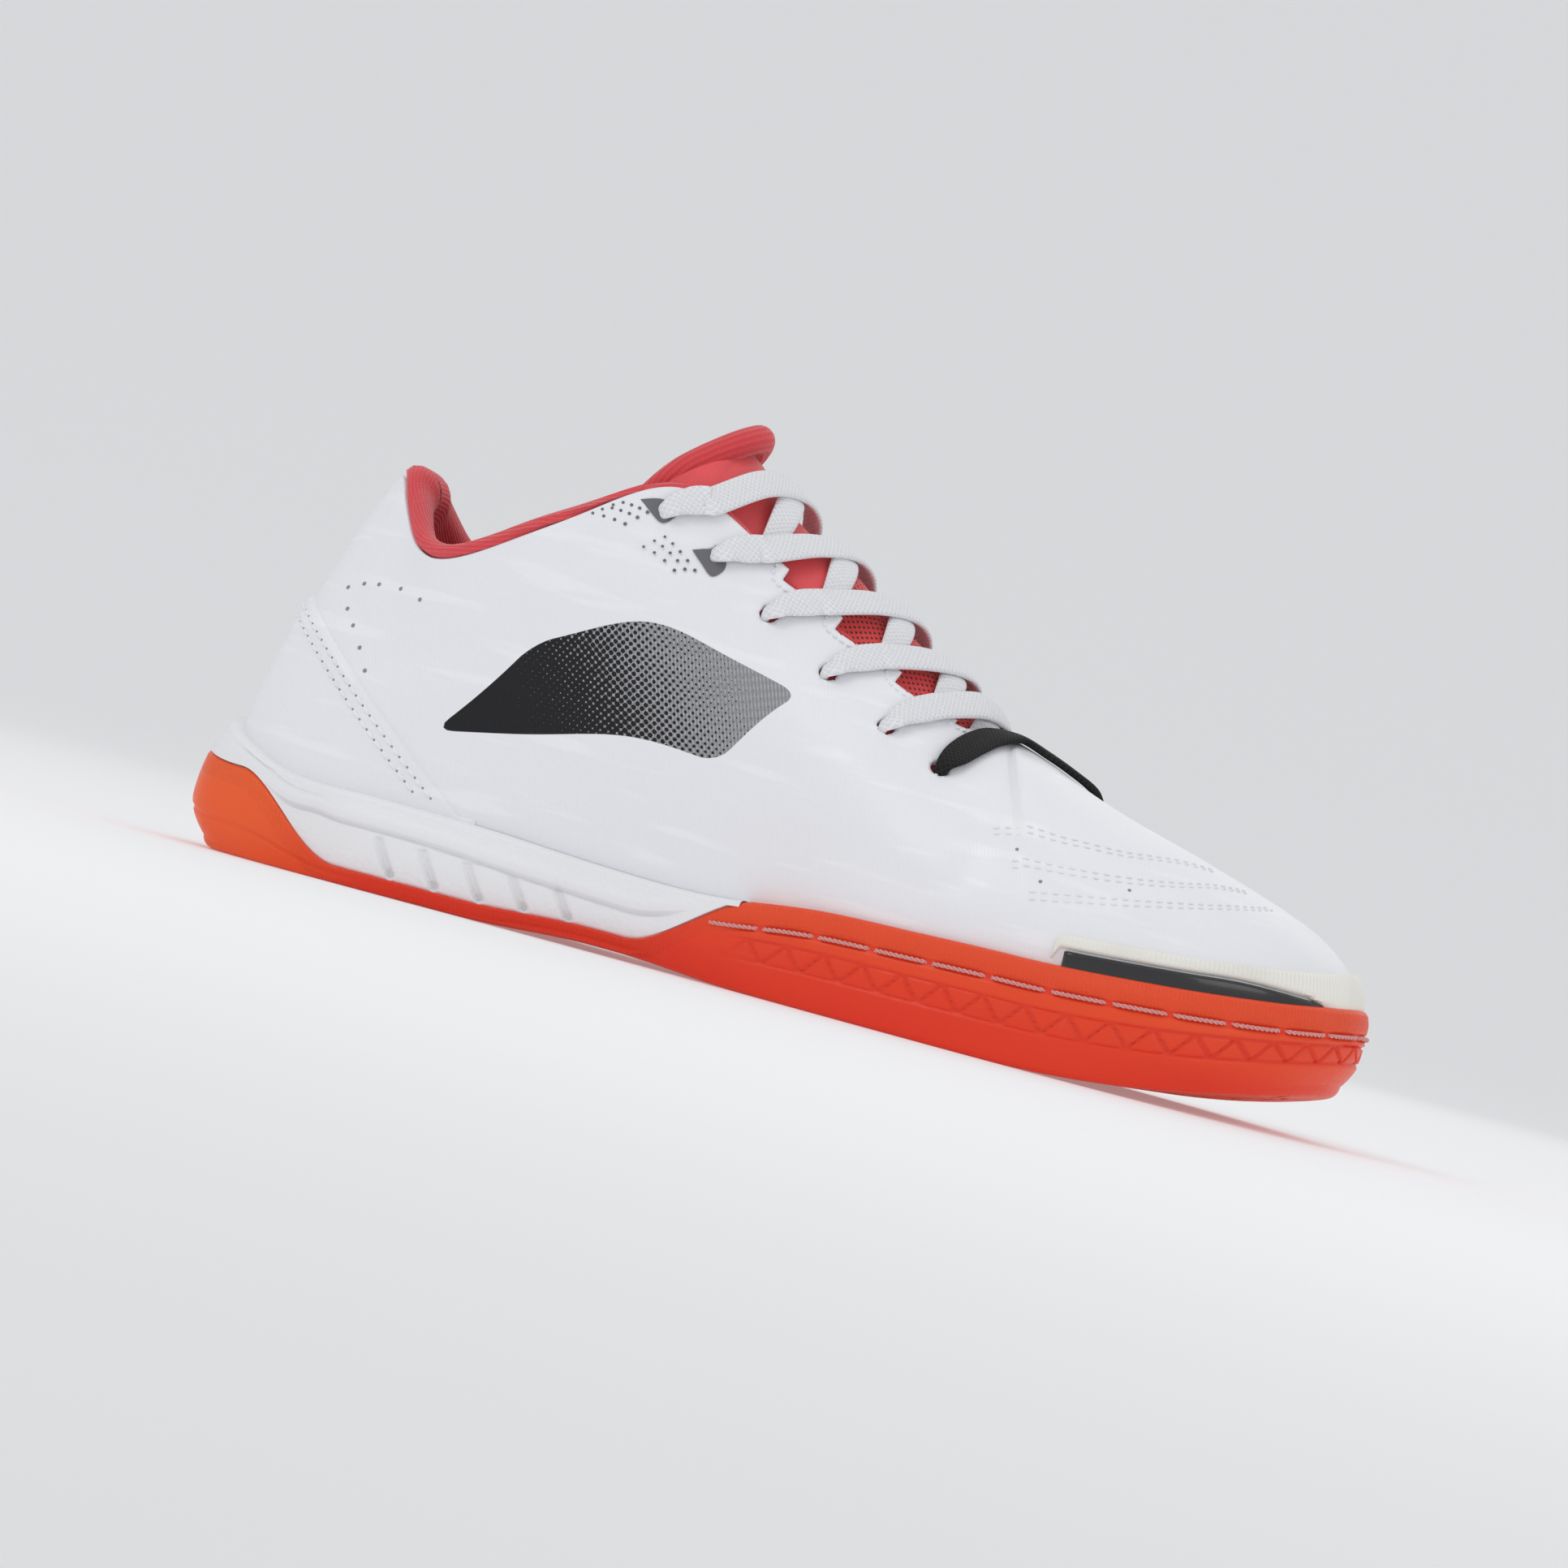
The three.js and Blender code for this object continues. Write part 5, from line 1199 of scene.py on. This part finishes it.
def lace_strand(form, k, side, lift):
    """One strand: up through a hole, over the edge, sagging to the toe across the tongue, and under the
    other edge to the next row's hole."""
    row, nxt = EYELET_ROWS[k], EYELET_ROWS[k + 1]
    near = row if side > 0 else float(opposite(row))
    hole = float(eyelet_share(near))
    stations = []

    def put(at, up, wide, deep):
        stations.append((*at, *up, wide, deep))

    def on(r, v, depth):
        return skin(r, v, depth), upper_normal(r, v)

    centre, normal = on(near, hole, 0)
    ahead = unit(on(near + 0.2 * side, hole + 0.03, 0)[0] - centre)
    for depth, out in ((-3.6, -1.2), (-1.7, -0.7), (0.3, -0.4)):
        put(centre + normal * depth + ahead * out, unit(-ahead + normal * 0.1), 3.8, 2.2)
    at, up = on(near + side * SAG_EDGE * 0.1, lerp(hole, 1, 0.07), 1.75)
    put(at, unit(up - ahead * 0.5), 5.0, 1.8)
    for part, high in ((0.3, 1.75), (0.55, 1.6), (0.8, 1.55), (1.0, 1.5)):
        at, up = on(near + side * SAG_EDGE * part, lerp(hole, 1, part), high)
        put(at, up, LACE_W if part > 0.4 else 6.0, LACE_T)
    for share in (0.3, 0.5, 0.66):
        r = row + lerp(SAG_EDGE, SAG_MIDDLE, min(1.2, 2 * share))
        at, up = tongue_point(r, lerp(0.08, 0.92, share if side > 0 else 1 - share))
        put(at + up * (LACE_T / 2 + lift), up, LACE_W, LACE_T)
    for share, past, deep in ((0.82, 1.0, 1.2), (0.94, 1.04, 1.05)):
        at, up = tongue_point(row + past, lerp(0.04, 0.96, share if side > 0 else 1 - share))
        put(at + up * (deep / 2 + 0.2), up, 5.8, deep)
    far = float(opposite(nxt)) if side > 0 else nxt
    turn = float(opposite(row + 0.95)) if side > 0 else row + 0.95
    at, up = on(turn, 0.9, -2.5)
    put(at, up, 5.0, 0.9)
    at, up = on(far, float(eyelet_share(far)), -2.6)
    put(at, up, 4.2, 1.0)
    ribbon(form, stations, 120)


def laces():
    """Five crossings of the lace, of two strands each, and the black band across the throat's foot."""
    for k in range(EYELETS - 1):
        form = Form()
        lift = 1.6 if k in (0, EYELETS - 2) else 0.5
        lace_strand(form, k, 1, lift + LACE_T)
        lace_strand(form, k, -1, lift)
        make(f"lace_strands_{k + 1}", form, LACE, [f"lace_crossing_{k + 1}"])
    form = Form()
    row, side, share, lift, width = np.array(BAND_PATH).T
    rows = np.where(side > 0, row, opposite(row))
    thick = np.full(len(rows), BAND_THICK)
    band = np.column_stack([skin(rows, share, lift), upper_normal(rows, share), width, thick])
    ribbon(form, band, 90)
    make("throat_band_braid", form, BLACK_BRAID, ["throat_band"])


# The sole: the row at which the foam ends on each side, its rim's rounding and its slots; the rubber's
# edge, its fine front rows and the depth of its sewn trench below the top edge.
FOAM_END, FOAM_ROUND, SLOTS = 22 / 3, 1.6, 5
EDGE_ROUND, FINE_START, TRENCH = 1.5, 7, 6.2


def groove(distance, width, depth):
    """The depth of a soft-edged groove at a distance from its middle."""
    return depth * (1 - smooth(0.5, 1.15, np.abs(distance) / (width / 2)))


def midsole():
    """The foam's side: a rounded rim over a set-in panel with five slanting slots, on each side."""
    r = steps((ROWS - FOAM_END, ROWS + FOAM_END, 44))
    start = wrap_z(r) + CLEAR
    high = rim_z(r)
    x = around(PLAN_X, r)
    at = x / LENGTH
    run = running(np.stack([x, around(PLAN_Y, r)], -1))
    share = np.linspace(0, 1, 40)
    height = (high - start)[:, None]
    z = start[:, None] + (high - FOAM_ROUND - start)[:, None] * share
    edge = lerp(0.66, 0.5, smooth(0.2, 0.42, at))[:, None] * smooth(0.065, 0.14, at)[:, None]
    ends = (smooth(0.075, 0.12, at) * (1 - smooth(0.43, 0.47, at)))[:, None]
    from_edge = (share[None] - edge) * height
    sunk = (1 - smooth(-0.5, 0.5, from_edge)) * ends + groove(from_edge + 0.5, 1.2, 0.5) * ends
    sunk = sunk - 0.35 * np.exp(-(((from_edge - 2.2) / 1.6) ** 2)) * ends
    fold_ends = (smooth(0.03, 0.06, at) * (1 - smooth(0.12, 0.16, at)))[:, None]
    fold = groove(from_edge - 4.2 + 26 * (at[:, None] - 0.10), 1.4, 0.4) * fold_ends
    w = (share[None] - 0.06) * height
    for place in np.linspace(0.20, 0.355, SLOTS):
        near = float(np.interp(LENGTH * place, PLAN_X[:len(OUTER_ROWS)], OUTER_ROWS))
        for row, lean in ((ROWS + near, 0.55), (ROWS - near, -0.55)):
            middle = np.interp(row, r, run)
            tall = 0.44 * np.interp(row, r, high - start)
            t = np.clip(w, 0, tall)
            far = np.hypot(run[:, None] - middle + lean * (t - tall / 2), w - t)
            sunk = sunk + groove(far, 2.3, 1.6) * lerp(1.0, 0.5, t / tall)
            tick = np.hypot(run[:, None] - middle + lean * (0.3 - tall / 2), w - 0.3)
            sunk = sunk + groove(tick, 2.2, 0.6)
    rr = r[:, None]
    face = level_point(rr, side_inset(rr, z) + sunk + fold, z)
    low_in = side_inset(rr, start[:, None]) + np.array([WRAP + 0.3, 1.2])
    low = level_point(rr, low_in, start[:, None] + np.array([-2.5, -0.1]))
    turn = np.linspace(0.15, np.pi / 2, 6)
    top_z = (high - FOAM_ROUND)[:, None] + FOAM_ROUND * np.sin(turn)
    round_in = 1.9 * (1 - np.cos(turn))[None] + side_inset(r, high - FOAM_ROUND)[:, None]
    rim = level_point(rr, round_in, top_z)
    inside_rim = level_point(rr, seat_inset(rr), high[:, None] + np.array([-0.05, -4]))
    form = Form()
    form.grid(np.concatenate([low, face, rim, inside_rim], 1))
    make("midsole_foam_side", form, FOAM, ["midsole"], sharp=70)


def outsole_side():
    """The rubber's side: a sewn trench under its top edge and a band of triangles between two lines."""
    a, b = FINE_START, ROWS - FINE_START
    r = steps((0, a, 18), (a, b, 44), (b, ROWS, 18))
    x = around(PLAN_X, r)
    run = running(np.stack([x, around(PLAN_Y, r)], -1))
    low, high = low_z(r) + EDGE_ROUND, wrap_z(r)
    share = np.linspace(0, 1, 50)
    z = low[:, None] + (high - 1.0 - low)[:, None] * share
    rr = np.repeat(r[:, None], len(share), 1)
    tall = (high - low)[:, None]
    front = smooth(0.485, 0.53, x / LENGTH)[:, None]
    bottom, top = 0.31 * tall, 0.55 * tall
    w = z - low[:, None]
    sunk = groove(w - bottom, 0.9, 0.55) + groove(w - top, 0.9, 0.55)
    pitch = run[-1] / round(run[-1] / 10.0)
    wave = np.abs(2 * np.mod(run / pitch, 1.0) - 1)[:, None]
    level = (w - bottom) / (top - bottom)
    band = (level > 0.04) & (level < 0.96)
    slope = np.cos(np.arctan2(0.24 * tall, pitch / 2))
    sunk = sunk + np.where(band, groove((level - wave) * (top - bottom) * slope, 1.0, 0.5) + 0.25, 0.0)
    trench = w - (tall - TRENCH)
    sunk = (sunk + groove(trench, 2.2, 0.5) - 0.25 * np.exp(-(((trench - 3.2) / 1.6) ** 2))) * front
    heel = 1 - smooth(0.10, 0.22, x / LENGTH)[:, None]
    sunk = sunk + groove(w - 0.30 * tall, 1.3, 0.45) * heel
    face = level_point(rr, side_inset(rr, z) + sunk, z)
    turn = np.linspace(0, np.pi / 2, 6)[:5]
    under_in = (side_inset(r, low_z(r)) + EDGE_ROUND)[:, None]
    under = plan_point(r, under_in[:, 0])
    under_z = tread_z(under[:, 0], under[:, 1])[:, None]
    edge_in = lerp(under_in, side_inset(r, low)[:, None], np.sin(turn))
    edge = level_point(rr[:, :5], edge_in, lerp(under_z, low[:, None], 1 - np.cos(turn)))
    first = level_point(rr[:, :1], under_in + 1.4, under_z + 0.35)
    lip_in = np.array([0.15, 0.55, 1.15])[None] + side_inset(r, high)[:, None]
    lip = level_point(rr[:, :3], lip_in, high[:, None] + np.array([-0.45, -0.1, 0.0]))
    foamy = (np.minimum(r, ROWS - r) < FOAM_END + 0.02)[:, None]
    last_in = np.where(foamy, side_inset(r, high)[:, None] + WRAP, seat_inset(r)[:, None])
    last = level_point(rr[:, :2], last_in, high[:, None] + np.array([-0.05, -3.5]))
    points = np.concatenate([first, edge, face, lip, last], 1)
    from_top = high[:, None] - points[..., 2]
    uv = np.stack([np.broadcast_to(run[:, None], from_top.shape), from_top], -1)
    # The ink value holds how deep the side is sunk, which the rubber paints a deeper red: painted shade.
    ink = np.zeros(points.shape[:2])
    below = first.shape[1] + edge.shape[1]
    ink[:, below:below + len(share)] = np.clip(sunk / 0.6, 0, 1)
    form = Form()
    form.grid(points, uv, ink)
    make("outsole_side_wall", form, SIDE_RUBBER, ["outsole"], sharp=60)

    rows = steps((7.05, ROWS - 7.05, 60))
    level = rim_z(rows) - TRENCH
    path = level_point(rows, side_inset(rows, level) - 0.05, level)
    out = np.concatenate([outward(rows), np.zeros((len(rows), 1))], 1)
    run = running(path)
    t = np.linspace(-1, 1, 40)
    dip = 0.25 - 1.5 * np.abs(t) ** 7
    form = Form()
    for start in np.arange(1.0, run[-1] - 13, 14.4):
        s = np.linspace(start, start + 13.4, len(t))
        p, n = resampled(s, run, path), resampled(s, run, out)
        up = np.cross(unit(np.gradient(p, axis=0)), n)
        for phase in (0, np.pi):
            turn = 2 * np.pi * s / 2.6 + phase
            strand = p + n * (dip + 0.24 * np.cos(turn))[:, None] + up * (0.24 * np.sin(turn))[:, None]
            form.tube(strand, 0.3, 6)
    make("sole_thread", form, PINK_THREAD)


# Zones of the tread as closed outlines in plan, in millimetres.
ZONES = {
    "heel_hex": [(14, -22), (22, -30), (36, -33), (50, -31), (62, -26), (74, -20), (64, -15.5), (48, -14.5),
                 (34, -16), (21, -17)],
    "heel_bars": [(16, -8), (32, -7), (50, -6), (68, -1), (82, 1), (93, 10), (95, 22), (88, 28), (72, 32),
                  (52, 36), (34, 33), (21, 20)],
    "ball_hex": [(141, -36), (148, -41), (166, -46), (190, -47.5), (207, -47), (208, -43), (200, -31),
                 (188, -17), (175, -6), (158, 2), (145, -3), (140, -18)],
    "toe_hex": [(206, -26), (212, -36), (222, -43.5), (236, -44), (250, -40), (263, -33), (271, -26),
                (268, -21.5), (248, -25.5), (226, -27.5)],
    "ball_bars": [(146, 17), (162, 12), (184, 4.5), (197, 6), (209, 17), (221, 35), (217, 45), (205, 47.5),
                  (184, 44.5), (168, 37), (154, 27)],
    "toe_bars": [(207, -8), (216, -14), (236, -15), (256, -12), (270, -6), (273, 4), (269, 16), (257, 29),
                 (245, 36), (236, 34), (226, 20), (216, 8)],
}
# The two rosettes: centre, half axes and turn. Then the flex lines, the waist's outline and the contours.
OVALS = [((172, -29.5), (15.5, 10.5), 0.35), ((201, 31.5), (14.5, 11.5), 0.95)]
SPOKES, HEX_PITCH, HEX_TURN = 7, 7.0, 0.15
FLEX = [
    [(192, -6), (195, 2), (210, 15), (229, 37), (236, 44)],
    [(199, -12), (205, 0), (219, 18), (233, 36), (240, 42)],
]
WAIST = [(74, -6), (99, -17), (131, -26), (137, -14), (141, 8), (133, 12), (102, 12), (95, 4)]
CONTOURS = [
    [(76, -22), (96, -23), (118, -29), (134, -34), (141, -38)], [(70, -9), (92, -12), (116, -19), (134, -25)],
    [(203, -33), (226, -31), (250, -29), (272, -24)], [(204, -22), (226, -23), (250, -21), (270, -17)],
    [(10, -12), (30, -12), (52, -11), (70, -10)], [(138, 12), (160, 7), (182, 0), (193, -6)],
]


def smooth_outline(corners):
    """A smooth closed line through corners, without its last point."""
    closed_line = spline([(*p, 0) for p in [*corners, corners[0]]], 60)
    return closed_line[:-1, :2]


def hex_scales(x, y):
    """Rings on a hexagonal net, joined by three spokes each: 1 where the rubber is cut away."""
    c, s = math.cos(HEX_TURN), math.sin(HEX_TURN)
    u, v = (c * x + s * y) / HEX_PITCH, (c * y - s * x) / HEX_PITCH
    best = np.full(np.shape(x), 1e9)
    angle = np.zeros(np.shape(x))
    for offset in (0.0, 0.5):
        a = np.round(u - offset) + offset
        b = (np.round(v / math.sqrt(3) - offset) + offset) * math.sqrt(3)
        d = np.hypot(u - a, v - b)
        nearer = d < best
        best = np.where(nearer, d, best)
        angle = np.where(nearer, np.arctan2(v - b, u - a), angle)
    mm = best * HEX_PITCH
    ring = 1 - smooth(0.75, 1.05, np.abs(mm - 1.95))
    spoke = (1 - smooth(0.45, 0.8, np.abs(np.sin(1.5 * angle)) * mm)) * smooth(1.6, 2.2, mm)
    return 1 - np.maximum(ring, spoke)


def bars(u, w, pitch, share, link):
    """Bars across u with links between them along w: 1 where the rubber is cut away."""
    place = np.mod(u / pitch, 1.0)
    bar = 1 - smooth(share / 2 - 0.05, share / 2 + 0.05, np.abs(place - 0.5))
    shifted = np.mod(w / link + 0.5 * np.mod(np.floor(u / pitch), 2), 1.0)
    tie = 1 - smooth(0.09, 0.14, np.abs(shifted - 0.5))
    return 1 - np.maximum(bar, tie)


def oval(x, y, centre, axes, turn):
    """How far points lie from an oval's centre, as a share of its radius, and at which angle."""
    c, s = math.cos(turn), math.sin(turn)
    dx, dy = x - centre[0], y - centre[1]
    a, b = (c * dx + s * dy) / axes[0], (c * dy - s * dx) / axes[1]
    return np.hypot(a, b), np.arctan2(b, a)


def tread_relief(x, y, edge):
    """How deep the tread is cut at places of the plan, in millimetres. edge is the distance to its rim."""
    cut = np.zeros(np.shape(x))
    free = np.ones(np.shape(x), bool)
    for name, corners in ZONES.items():
        deep = inside(x, y, smooth_outline(corners))
        ring = np.maximum(groove(deep - 0.2, 1.5, 0.9), groove(deep - 3.1, 1.0, 0.5))
        if name.endswith("hex"):
            pattern = hex_scales(x, y)
        elif name == "heel_bars":
            bend = 0.016 * (y - 12) ** 2
            pattern = bars(x + bend + 0.25 * y, y - 0.15 * x, 8.4, 0.42, 12.5)
        elif name == "ball_bars":
            bend = 0.02 * (y - 22) ** 2
            pattern = bars(x * 0.93 - y * 0.35 + bend, y + 0.3 * x, 8.0, 0.42, 12.0)
        else:
            pattern = bars(x + np.abs(y - 9) * 0.55, y + 0.12 * x, 6.9, 0.48, 9.5)
        inner = smooth(3.4, 4.0, deep)
        cut = np.where(deep > -1, np.maximum(ring, 1.25 * pattern * inner), cut)
        free &= deep < 0.8
    for centre, axes, turn in OVALS:
        far, angle = oval(x, y, centre, axes, turn)
        within = far < 1.0
        size = sum(axes) / 2
        rings = sum(groove((far - level) * size, 1.3, 0.9) for level in (0.97, 0.72, 0.44))
        spokes = groove(np.sin(SPOKES * angle) * far * size / SPOKES, 1.0, 0.7)
        spokes = spokes * smooth(0.74, 0.78, far) * (1 - smooth(0.9, 0.95, far))
        dish = 0.35 * (1 - smooth(0.1, 0.42, far))
        cut = np.where(within, np.maximum(rings, spokes) + dish, cut)
    waist = inside(x, y, smooth_outline(WAIST))
    ribs = 0.8 * smooth(-0.35, 0.35, np.sin((x * 0.93 + y * 0.30) * 2 * np.pi / 6.2))
    cut = np.where(waist > -1, np.maximum(groove(waist, 1.2, 0.8), ribs * smooth(1.0, 1.6, waist)), cut)
    for line in (*FLEX, *CONTOURS):
        fine = spline([(*p, 0) for p in line], 30)[:, :2]
        cut = np.where(free, np.maximum(cut, groove(line_distance(x, y, fine), 1.2, 0.75)), cut)
    outer = y < -8
    cut = np.where(free & outer & (x > 138) & (x < 208), np.maximum(cut, groove(edge - 4.5, 0.9, 0.5)), cut)
    for i in range(6):
        notch = (np.abs(x - 150.5 - 9.6 * i) < 1.9) & (edge < 4.4) & outer
        cut = np.where(notch, 1.1, cut)
    for i in range(7):
        at = 229 + 9.2 * i
        slit = np.abs(x - at + 0.55 * (edge - 3)) < 0.7
        cut = np.where(slit & (edge > 0.6) & (edge < 7.5) & free & (x > 215), np.maximum(cut, 0.8), cut)
    heel_dots = np.hypot(np.mod(np.arctan2(y, 45 - x) * 9, 1.0) - 0.5, (edge - 3.2) / 2.2)
    cut = np.where(free & (x < 100) & (heel_dots < 0.24), np.maximum(cut, 0.6), cut)
    return cut * smooth(0.2, 1.0, edge)


def tread():
    """The tread's face: a fine grid between the sole's two edges."""
    sides = [plan_point(rows, side_inset(rows, low_z(rows)) + EDGE_ROUND) for rows in both(OUTER_ROWS)]
    low_x = max(s[:, 0].min() for s in sides) + 0.02
    high_x = min(s[:, 0].max() for s in sides) - 0.02
    even = np.linspace(0, 1, 430)
    x = lerp(low_x, high_x, lerp(even, 0.5 - 0.5 * np.cos(np.pi * even), 0.35))
    y = [np.interp(x, s[:, 0], s[:, 1]) for s in sides]
    across = np.linspace(0, 1, 170)
    xx = np.repeat(x[:, None], len(across), 1)
    yy = y[0][:, None] + (y[1] - y[0])[:, None] * across
    outline = np.concatenate([sides[0], sides[1][::-1][1:-1]])[::6]
    edge = inside(xx, yy, outline)
    cut = tread_relief(xx, yy, edge)
    z = tread_z(xx, yy) + cut
    form = Form()
    # The ink value holds the cut's depth, which the rubber paints a deeper red: painted shade.
    form.grid(np.stack([xx, yy, z], -1), ink=np.clip(cut / 1.3, 0, 1), flip=True)
    make("outsole_tread", form, TREAD_RUBBER, ["outsole"], sharp=65, weld=0.01)


# The photograph's direction, its roll and its size, which the view keeps.
AZIMUTH, ROLL, PHOTO_SIZE = math.radians(14.0), math.radians(14.763), 1932
SOFT_WHITE = (0.97, 0.98, 1.0, 1.0)
# The lamps: name, place, size and power.
LAMPS = [
    ("key", (-0.45, -0.75, 0.85), 0.5, 2.1), ("side", (0.85, -0.5, 0.45), 0.5, 0.9),
    ("top", (0.1, 0.1, 1.2), 0.7, 1.1), ("back", (0.1, 0.9, 0.6), 0.8, 0.8),
]


def studio():
    """A near-white floor that sweeps up behind the shoe, soft light all round and the view."""
    right = np.array([math.cos(AZIMUTH), math.sin(AZIMUTH), 0])
    ahead = np.array([-math.sin(AZIMUTH), math.cos(AZIMUTH), 0])
    bend = np.linspace(0, np.pi / 2, 25)[1:]
    far = np.concatenate([[-4.0, 0.0, 2.0], 2.0 + 2.0 * np.sin(bend), [4.0]])
    high = np.concatenate([[0, 0, 0], 2.0 - 2.0 * np.cos(bend), [4.0]])
    line = far[:, None] * ahead + high[:, None] * np.array([0, 0, 1])
    points = np.concatenate([line - 5 * right, line + 5 * right])
    count = len(line)
    faces = [(k, k + count, k + 1 + count, k + 1) for k in range(count - 1)]
    floor = bpy.data.meshes.new("floor")
    floor.from_pydata(points.tolist(), [], faces)
    floor.shade_smooth()
    ground = bpy.data.objects.new("floor", floor)
    bpy.context.scene.collection.objects.link(ground)
    look = Look("floor_white", (0.74, 0.74, 0.745), 0.7, Emission_Color=SOFT_WHITE, Emission_Strength=0.2)
    floor.materials.append(look.material)
    world = bpy.data.worlds.new("studio")
    world.use_nodes = True
    sky = world.node_tree.nodes["Background"].inputs
    sky["Color"].default_value = SOFT_WHITE
    sky["Strength"].default_value = 0.64
    bpy.context.scene.world = world
    bpy.context.scene.view_settings.view_transform = "Standard"
    for name, place, size, power in LAMPS:
        lamp = bpy.data.lights.new(name, "AREA")
        lamp.energy, lamp.size = power, size
        light = bpy.data.objects.new(name, lamp)
        light.location = place
        light.rotation_euler = (Vector((0, 0, 0.04)) - Vector(place)).to_track_quat("-Z", "Y").to_euler()
        bpy.context.scene.collection.objects.link(light)


def camera(elevation):
    """The camera stands as the photograph's did round the shoe, rolled as it was."""
    e = math.radians(elevation)
    distance, focus = 1.8, 9336.6 / PHOTO_SIZE
    right = Vector((math.cos(AZIMUTH), math.sin(AZIMUTH), 0))
    back = Vector((math.sin(AZIMUTH) * math.cos(e), -math.cos(AZIMUTH) * math.cos(e), math.sin(e)))
    up = back.cross(right)
    across = math.cos(ROLL) * right + math.sin(ROLL) * up
    over = math.cos(ROLL) * up - math.sin(ROLL) * right
    data = bpy.data.cameras.new("camera")
    data.sensor_width, data.lens = 36.0, 36.0 * focus
    data.shift_x, data.shift_y = -12.6 / PHOTO_SIZE, 55.9 / PHOTO_SIZE
    eye = bpy.data.objects.new("camera", data)
    turn = Matrix((across, over, back)).transposed().to_4x4()
    eye.matrix_world = Matrix.Translation(Vector((-0.00099, -0.00053, 0.040)) + back * distance) @ turn
    bpy.context.scene.collection.objects.link(eye)
    bpy.context.scene.camera = eye


studio()
camera(0.0)
upper_sheet()
upper_inside()
upper_layers()
upper_marks()
collar_lining()
throat_piping()
insole()
tongue()
laces()
midsole()
outsole_side()
tread()
